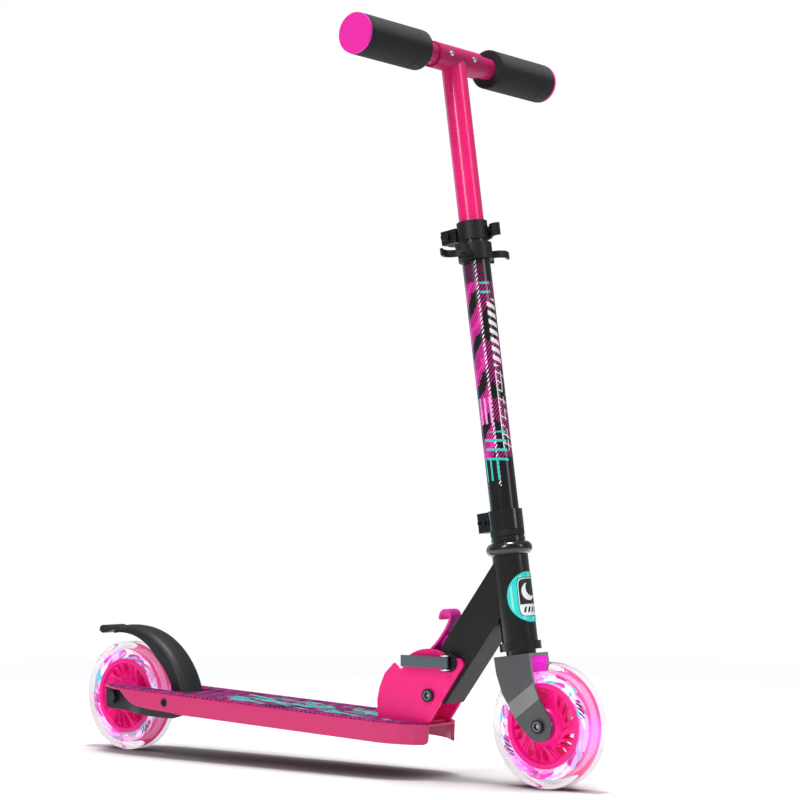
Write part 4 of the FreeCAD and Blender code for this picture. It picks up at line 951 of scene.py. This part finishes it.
@dataclass
class WheelCores:
    """The moulded hub cores: rim, windowed web with slanted ribs, and boss."""

    shop: PaintShop
    radius: float = 0.041
    width: float = 0.023
    rim: float = 0.0046
    recess: float = 0.0042
    boss_radius: float = 0.0165
    boss_height: float = 0.0122
    bore: float = 0.01102
    window_ring: float = 0.0286
    groups: int = 5
    skew: float = math.radians(28)
    lip: float = 0.0014
    dish: float = 0.0010
    windows: tuple[tuple[float, float, float], ...] = (
        (0.0076, 0.0043, 20.0), (0.0075, 0.0028, 38.0), (0.0075, 0.0030, 55.0))
    ribs: tuple[tuple[float, float], ...] = (
        (29.0, 0.0150), (46.5, 0.0150), (70.0, 0.0170), (77.0, 0.0170))
    rib_ring: float = 0.0270
    tools: list[bpy.types.Object] = field(default_factory=list)

    def build(self) -> list[bpy.types.Object]:
        """Model one core, copy it for the other wheel and dress both."""
        first = self.blank()
        self.cut_windows(first)
        first = self.add_ribs(first)
        second = Bench.copy_of(first)
        return [self.dress(piece, wheel) for piece, wheel in zip((first, second), Wheel)]

    def blank(self) -> bpy.types.Object:
        """The turned shape of the core along Z, before windows."""
        core = Bench.rod("wheel_core", self.radius, self.width, 128)

        def ends(centre: Vector, normal: Vector) -> bool:
            """True for the flat face in the middle of either end."""
            return abs(normal.z) > 0.95 and centre.xy.length < 0.001

        Bench.pick_faces(core, ends)
        bpy.ops.mesh.inset(thickness=self.rim)
        bpy.ops.mesh.inset(thickness=self.lip, depth=-self.recess)
        web = self.radius - self.rim - self.lip
        bpy.ops.mesh.inset(thickness=web - self.boss_radius - 0.0035, depth=-self.dish)
        rise = self.boss_height - (self.width / 2 - self.recess - self.dish)
        bpy.ops.mesh.inset(thickness=0.0028, depth=rise * 0.75)
        bpy.ops.mesh.inset(thickness=0.0009, depth=rise * 0.25)
        bpy.ops.mesh.inset(thickness=self.boss_radius - 0.0002 - self.bore)
        Bench.pick_faces(core, ends)
        bpy.ops.mesh.bridge_edge_loops()
        bpy.ops.object.mode_set(mode="OBJECT")
        Bench.tidy(core)
        return core

    def window(self, half_long: float, half_wide: float, turn: float) -> bpy.types.Object:
        """A teardrop cutter at its place in the web.

        Args:
            half_long: Half its length, from boss to rim.
            half_wide: Half its greatest width.
            turn: Angle round the axle.

        Returns:
            The cutter.
        """
        tool = Bench.rod("window_tool", 1.0, 0.05, 36)
        bpy.ops.object.mode_set(mode="EDIT")
        bpy.ops.mesh.select_all(action="SELECT")
        bpy.ops.transform.resize(value=(half_long, half_wide, 1.0), center_override=(0, 0, 0))
        for share in (0.75, 0.4, 0.0):
            Bench.pick_points(tool, lambda p: p.x < -half_long * (1 - share) * 0.75 + half_long * 0.1)
            bpy.ops.transform.resize(value=(1.0, 0.86, 1.0), center_override=(0, 0, 0))
        bpy.ops.object.mode_set(mode="OBJECT")
        Bench.place(tool, self.on_web(turn, self.window_ring))
        return tool

    def on_web(self, turn: float, ring: float) -> Matrix:
        """A slanted place on the web, this far round the axle and out from it."""
        return (Matrix.Rotation(turn, 4, "Z") @ Matrix.Translation((ring, 0, 0))
                @ Matrix.Rotation(self.skew, 4, "Z"))

    def cut_windows(self, core: bpy.types.Object) -> None:
        """Cut a wide and two narrow windows in each group, and soften their edges."""
        for k in range(self.groups):
            start = 2 * math.pi * k / self.groups
            for half_long, half_wide, turn in self.windows:
                self.tools.append(self.window(half_long, half_wide, start + math.radians(turn)))
        cutter = Bench.join(*self.tools)
        Bench.modify(core, "BOOLEAN", operation="DIFFERENCE", solver="EXACT", object=cutter)
        Bench.hold(cutter)
        bpy.ops.object.delete()
        Bench.modify(core, "BEVEL", width=0.0005, segments=3, limit_method="ANGLE",
                     angle_limit=math.radians(28))

    def add_ribs(self, core: bpy.types.Object) -> bpy.types.Object:
        """Raise slanted ribs on both faces between the windows."""
        ribs = []
        for k in range(self.groups):
            for turn, length in self.ribs:
                rib = Bench.block("rib", (length, 0.0009, 0.0172))
                Bench.pick_faces(rib, lambda c, n: abs(n.z) > 0.9)
                bpy.ops.mesh.inset(thickness=0.00025)
                bpy.ops.transform.resize(value=(0.94, 0.6, 1.03), center_override=(0, 0, 0))
                bpy.ops.object.mode_set(mode="OBJECT")
                around = 2 * math.pi * k / self.groups + math.radians(turn)
                Bench.place(rib, self.on_web(around, self.rib_ring))
                Bench.modify(rib, "BEVEL", width=0.0002, segments=2, limit_method="ANGLE")
                ribs.append(rib)
        return Bench.join(*ribs, core)

    def dress(self, core: bpy.types.Object, wheel: Wheel) -> bpy.types.Object:
        """Set one core on its axle and let it ride on its wheel."""
        core.name = wheel.node("moulded_core")
        Bench.smooth(core, 32.0)
        Bench.place_across(core, wheel.axle)
        self.shop.coat_piece(core, CORE_PINK)
        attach(core, wheel.body)
        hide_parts(wheel.node("wheel_core"))
        return core


@dataclass
class ClearTyres:
    """The two clear tyres, cast round their printed bands."""

    shop: PaintShop
    outer: float = 0.0600
    inner: float = 0.0408
    width: float = 0.0240
    shoulder: float = 0.0046

    def build(self) -> list[bpy.types.Object]:
        """Turn one tyre, copy it, and dress both."""
        front = self.turned()
        rear = Bench.copy_of(front)
        return [self.dress(piece, wheel) for piece, wheel in zip((front, rear), Wheel)]

    def turned(self) -> bpy.types.Object:
        """A ring with rounded shoulders, its axis along Z."""
        tyre = Bench.rod("clear_tyre", self.outer, self.width, 256)
        Bench.modify(tyre, "BEVEL", width=self.shoulder, segments=8, limit_method="ANGLE",
                     angle_limit=math.radians(60))
        Bench.bore(tyre, self.outer - self.shoulder - self.inner)
        Bench.tidy(tyre)
        Bench.smooth(tyre, 50.0)
        return tyre

    def dress(self, tyre: bpy.types.Object, wheel: Wheel) -> bpy.types.Object:
        """Set one tyre on its axle and let it ride on its wheel."""
        tyre.name = wheel.node("clear_tyre")
        Bench.place_across(tyre, wheel.axle)
        self.shop.coat_piece(tyre, TYRE)
        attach(tyre, wheel.body)
        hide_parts(wheel.node("tyre"))
        return tyre


@dataclass
class LatchHub:
    """The knurled disc and the bright flanges that hold the latch lever."""

    shop: PaintShop
    disc: tuple[float, float] = (0.0092, 0.0024)
    flange: tuple[float, float] = (0.0048, 0.0018)
    spread: float = 0.0069
    knurls: int = 44
    arm_inset: float = 0.0034

    def build(self) -> list[bpy.types.Object]:
        """Model the disc and the flanges where the latch's hub is."""
        low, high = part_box("latch_hub")
        middle = (low + high) / 2
        radius, thick = self.disc
        disc = Bench.rod("latch_disc", radius, thick, self.knurls)
        Bench.pick_faces(disc, lambda c, n: abs(n.z) < 0.5)
        bpy.ops.mesh.inset(thickness=0.00012, depth=0.0004, use_individual=True)
        bpy.ops.object.mode_set(mode="OBJECT")
        Bench.modify(disc, "BEVEL", width=0.0001, segments=2, limit_method="ANGLE")
        seat = Vector((middle.x, high.y - thick / 2, middle.z))
        Bench.place_across(disc, seat)
        self.shop.coat_piece(disc, BLACK_MATT)
        radius, thick = self.flange
        arm = low.y + self.arm_inset
        ends = []
        for side in (-1, 1):
            end = Bench.rod("flange", radius, thick, 64)
            Bench.modify(end, "BEVEL", width=0.0005, segments=4, limit_method="ANGLE")
            level = middle.z + side * self.spread
            Bench.place(end, Matrix.Translation(Vector((middle.x, arm, level))))
            neck = Bench.block("neck", (0.0056, abs(seat.y - arm), thick * 0.9))
            Bench.place(neck, Matrix.Translation(Vector((middle.x, (seat.y + arm) / 2, level))))
            ends += [neck, end]
        flanges = Bench.join(*ends)
        flanges.name = "latch_flanges"
        Bench.smooth(flanges, 40.0)
        self.shop.coat_piece(flanges, CHROME)
        for piece, slot in ((disc, "dark_bolt"), (flanges, "bright_chrome")):
            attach(piece, "latch")
            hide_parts("latch_hub")
        return [disc, flanges]


@dataclass
class HeadBadge:
    """The round badge wrapped on the front of the head tube."""

    shop: PaintShop
    tube_radius: float = 0.0175
    thickness: float = 0.0004
    radius: float = 0.0245
    height: float = 0.1245
    rings: int = 11

    def build(self) -> list[bpy.types.Object]:
        """Model, place and dress the badge."""
        Bench.clear()
        bpy.ops.mesh.primitive_circle_add(vertices=96, radius=self.radius, fill_type="NGON")
        badge = bpy.context.object
        badge.name = "head_badge"
        Bench.pick_faces(badge, lambda c, n: True)
        for _ in range(self.rings):
            bpy.ops.mesh.inset(thickness=self.radius / (self.rings + 1))
        bpy.ops.object.mode_set(mode="OBJECT")
        Bench.modify(badge, "SOLIDIFY", thickness=self.thickness, offset=0.0)
        Bench.place(badge, Matrix.Rotation(math.radians(90), 4, "X"))
        Bench.modify(badge, "SIMPLE_DEFORM", deform_method="BEND", deform_axis="Z",
                     angle=2 * self.radius / (self.tube_radius + self.thickness / 2))
        ends = max(badge.data.vertices, key=lambda v: abs(v.co.x)).co.y
        turn = math.radians(90 if ends > 0 else -90)
        reach = self.tube_radius + self.thickness / 2 + 0.00005
        Bench.place(badge, Matrix.Translation((reach, 0, 0)) @ Matrix.Rotation(turn, 4, "Z"))
        Bench.tidy(badge)
        Bench.smooth(badge, 40.0)
        upright = Matrix((
            (COLUMN_AHEAD.x, 0.0, COLUMN_UP.x, 0.0),
            (0.0, 1.0, 0.0, 0.0),
            (COLUMN_AHEAD.z, 0.0, COLUMN_UP.z, 0.0),
            (0.0, 0.0, 0.0, 1.0)))
        Bench.place(badge, Matrix.Translation(COLUMN_FOOT + COLUMN_UP * self.height) @ upright)
        self.shop.coat_piece(badge, BADGE)
        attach(badge, "neck")
        return [badge]


# ---- studio ----------------------------------------------------------------------------------
@dataclass
class Studio:
    """Camera, pale floor with a painted shadow, and soft lights."""

    eye: Vector = field(default_factory=lambda: Vector((1.45419, -1.70464, 0.25868)))
    heading: float = 0.671
    tilt: float = 0.055
    lens: float = 96.18
    aim: Vector = field(default_factory=lambda: Vector((0.08, 0.0, 0.33)))
    floor_size: float = 4.4
    floor_fade: tuple[float, float] = (0.7, 1.9)
    floor_glow: float = 0.22
    painted_shadow_reach: float = 0.16
    painted_shadow_occlusion: tuple[float, float] = (0.28, 0.92)

    def build(self) -> None:
        """Set up everything round the scooter."""
        self.camera()
        self.floor()
        self.world()
        self.softbox("key_light", 30.0, 36.0, 2.4, (0.5, 1.6), 24.0, (1.0, 1.0, 1.0))
        self.softbox("side_light", -62.0, 26.0, 2.6, (0.5, 1.6), 9.0, (1.0, 0.98, 0.97))
        self.softbox("rim_light", 138.0, 12.0, 2.4, (0.5, 1.6), 6.0, (0.16, 0.55, 0.80))
        self.softbox("top_light", 0.0, 88.0, 2.3, (0.45, 0.35), 62.0, (1.0, 1.0, 1.0))

    def camera(self) -> None:
        """Put the camera at its fixed place."""
        Bench.clear()
        bpy.ops.object.camera_add(location=self.eye, rotation=(math.pi / 2 + self.tilt, 0.0, self.heading))
        camera = bpy.context.object
        camera.name = "camera"
        camera.data.lens = self.lens
        camera.data.sensor_width = 36.0
        camera.data.clip_end = 60.0
        bpy.context.scene.camera = camera

    def floor(self) -> None:
        """A wide pale floor at z = 0, with a painted shadow darkening it where ambient occlusion finds the
        scooter close above.
        """
        Bench.clear()
        bpy.ops.mesh.primitive_plane_add(size=self.floor_size)
        floor = bpy.context.object
        floor.name = "floor"
        material = bpy.data.materials.new("pale_floor")
        material.use_nodes = True
        skin = material.node_tree.nodes["Principled BSDF"]
        wires = Wiring(material.node_tree)
        x, y, _ = wires.here()
        # painted shadow: ambient occlusion darkens the floor's colour and its glow under and near the scooter
        painted_shadow_occlusion = wires.node("AmbientOcclusion", samples=8)
        wires.fill(painted_shadow_occlusion, {"Distance": self.painted_shadow_reach})
        outside_painted_shadow = wires.ramp(painted_shadow_occlusion.outputs["AO"], *self.painted_shadow_occlusion)
        wires.fill(skin, {"Roughness": 0.75, "Specular IOR Level": 0.2, "Emission Color": WHITE,
                          "Alpha": wires.ramp(wires.distance(x, y), *self.floor_fade, 1.0, 0.0),
                          "Base Color": wires.mix(outside_painted_shadow, (0.05, 0.05, 0.05, 1.0), (0.84, 0.84, 0.84, 1.0)),
                          "Emission Strength": wires.times(outside_painted_shadow, self.floor_glow)})
        floor.data.materials.append(material)

    def world(self) -> None:
        """White to the eye, softer as a light."""
        scene = bpy.context.scene
        world = bpy.data.worlds.new("studio_world")
        scene.world = world
        world.use_nodes = True
        world.node_tree.nodes.clear()
        wires = Wiring(world.node_tree)
        seen, felt = wires.node("Background"), wires.node("Background")
        wires.fill(seen, {"Color": WHITE, "Strength": 1.0})
        wires.fill(felt, {"Color": (0.96, 0.98, 1.0, 1.0), "Strength": 0.26})
        blend = wires.node("MixShader")
        rays = wires.node("LightPath")
        eye = wires.math("MAXIMUM", rays.outputs["Is Camera Ray"], rays.outputs["Is Transmission Ray"])
        wires.feed(blend.inputs[0], eye)
        wires.feed(blend.inputs[1], felt.outputs[0])
        wires.feed(blend.inputs[2], seen.outputs[0])
        wires.feed(wires.node("OutputWorld").inputs["Surface"], blend.outputs[0])
        scene.view_settings.view_transform = "Standard"

    def softbox(self, name: str, left: float, up: float, reach: float, size: tuple[float, float],
                power: float, tint: tuple[float, float, float]) -> None:
        """Hang a soft light that faces the scooter.

        Args:
            name: Name of the light.
            left: Degrees to the left of the camera, round the scooter.
            up: Degrees above level.
            reach: Distance from the scooter.
            size: Width and height.
            power: Watts.
            tint: Colour.
        """
        Bench.clear()
        bpy.ops.object.light_add(type="AREA")
        lamp = bpy.context.object
        lamp.name = name
        lamp.data.shape = "RECTANGLE"
        lamp.data.size, lamp.data.size_y = size
        lamp.data.energy = power
        lamp.data.color = tint
        turn = self.heading - math.pi / 2 - math.radians(left)
        rise = math.radians(up)
        way = Vector((math.cos(turn) * math.cos(rise), math.sin(turn) * math.cos(rise), math.sin(rise)))
        lamp.location = self.aim + way * reach
        lamp.rotation_euler = (-way).to_track_quat("-Z", "Y").to_euler()


def report(piece: bpy.types.Object) -> None:
    """Log a finished piece and its size in triangles."""
    LOG.info("%s: %d triangles", piece.name, sum(len(f.vertices) - 2 for f in piece.data.polygons))


def main() -> None:
    """Build the scooter's pieces in order, then the studio."""
    logging.basicConfig(level=logging.INFO, format="%(name)s %(message)s")
    shop = PaintShop()
    shop.coat_frame()
    for maker in (FoamGrips, WheelCores, ClearTyres, LatchHub, HeadBadge):
        for piece in maker(shop).build():
            report(piece)
    Studio().build()


if __name__ == "__main__":
    main()
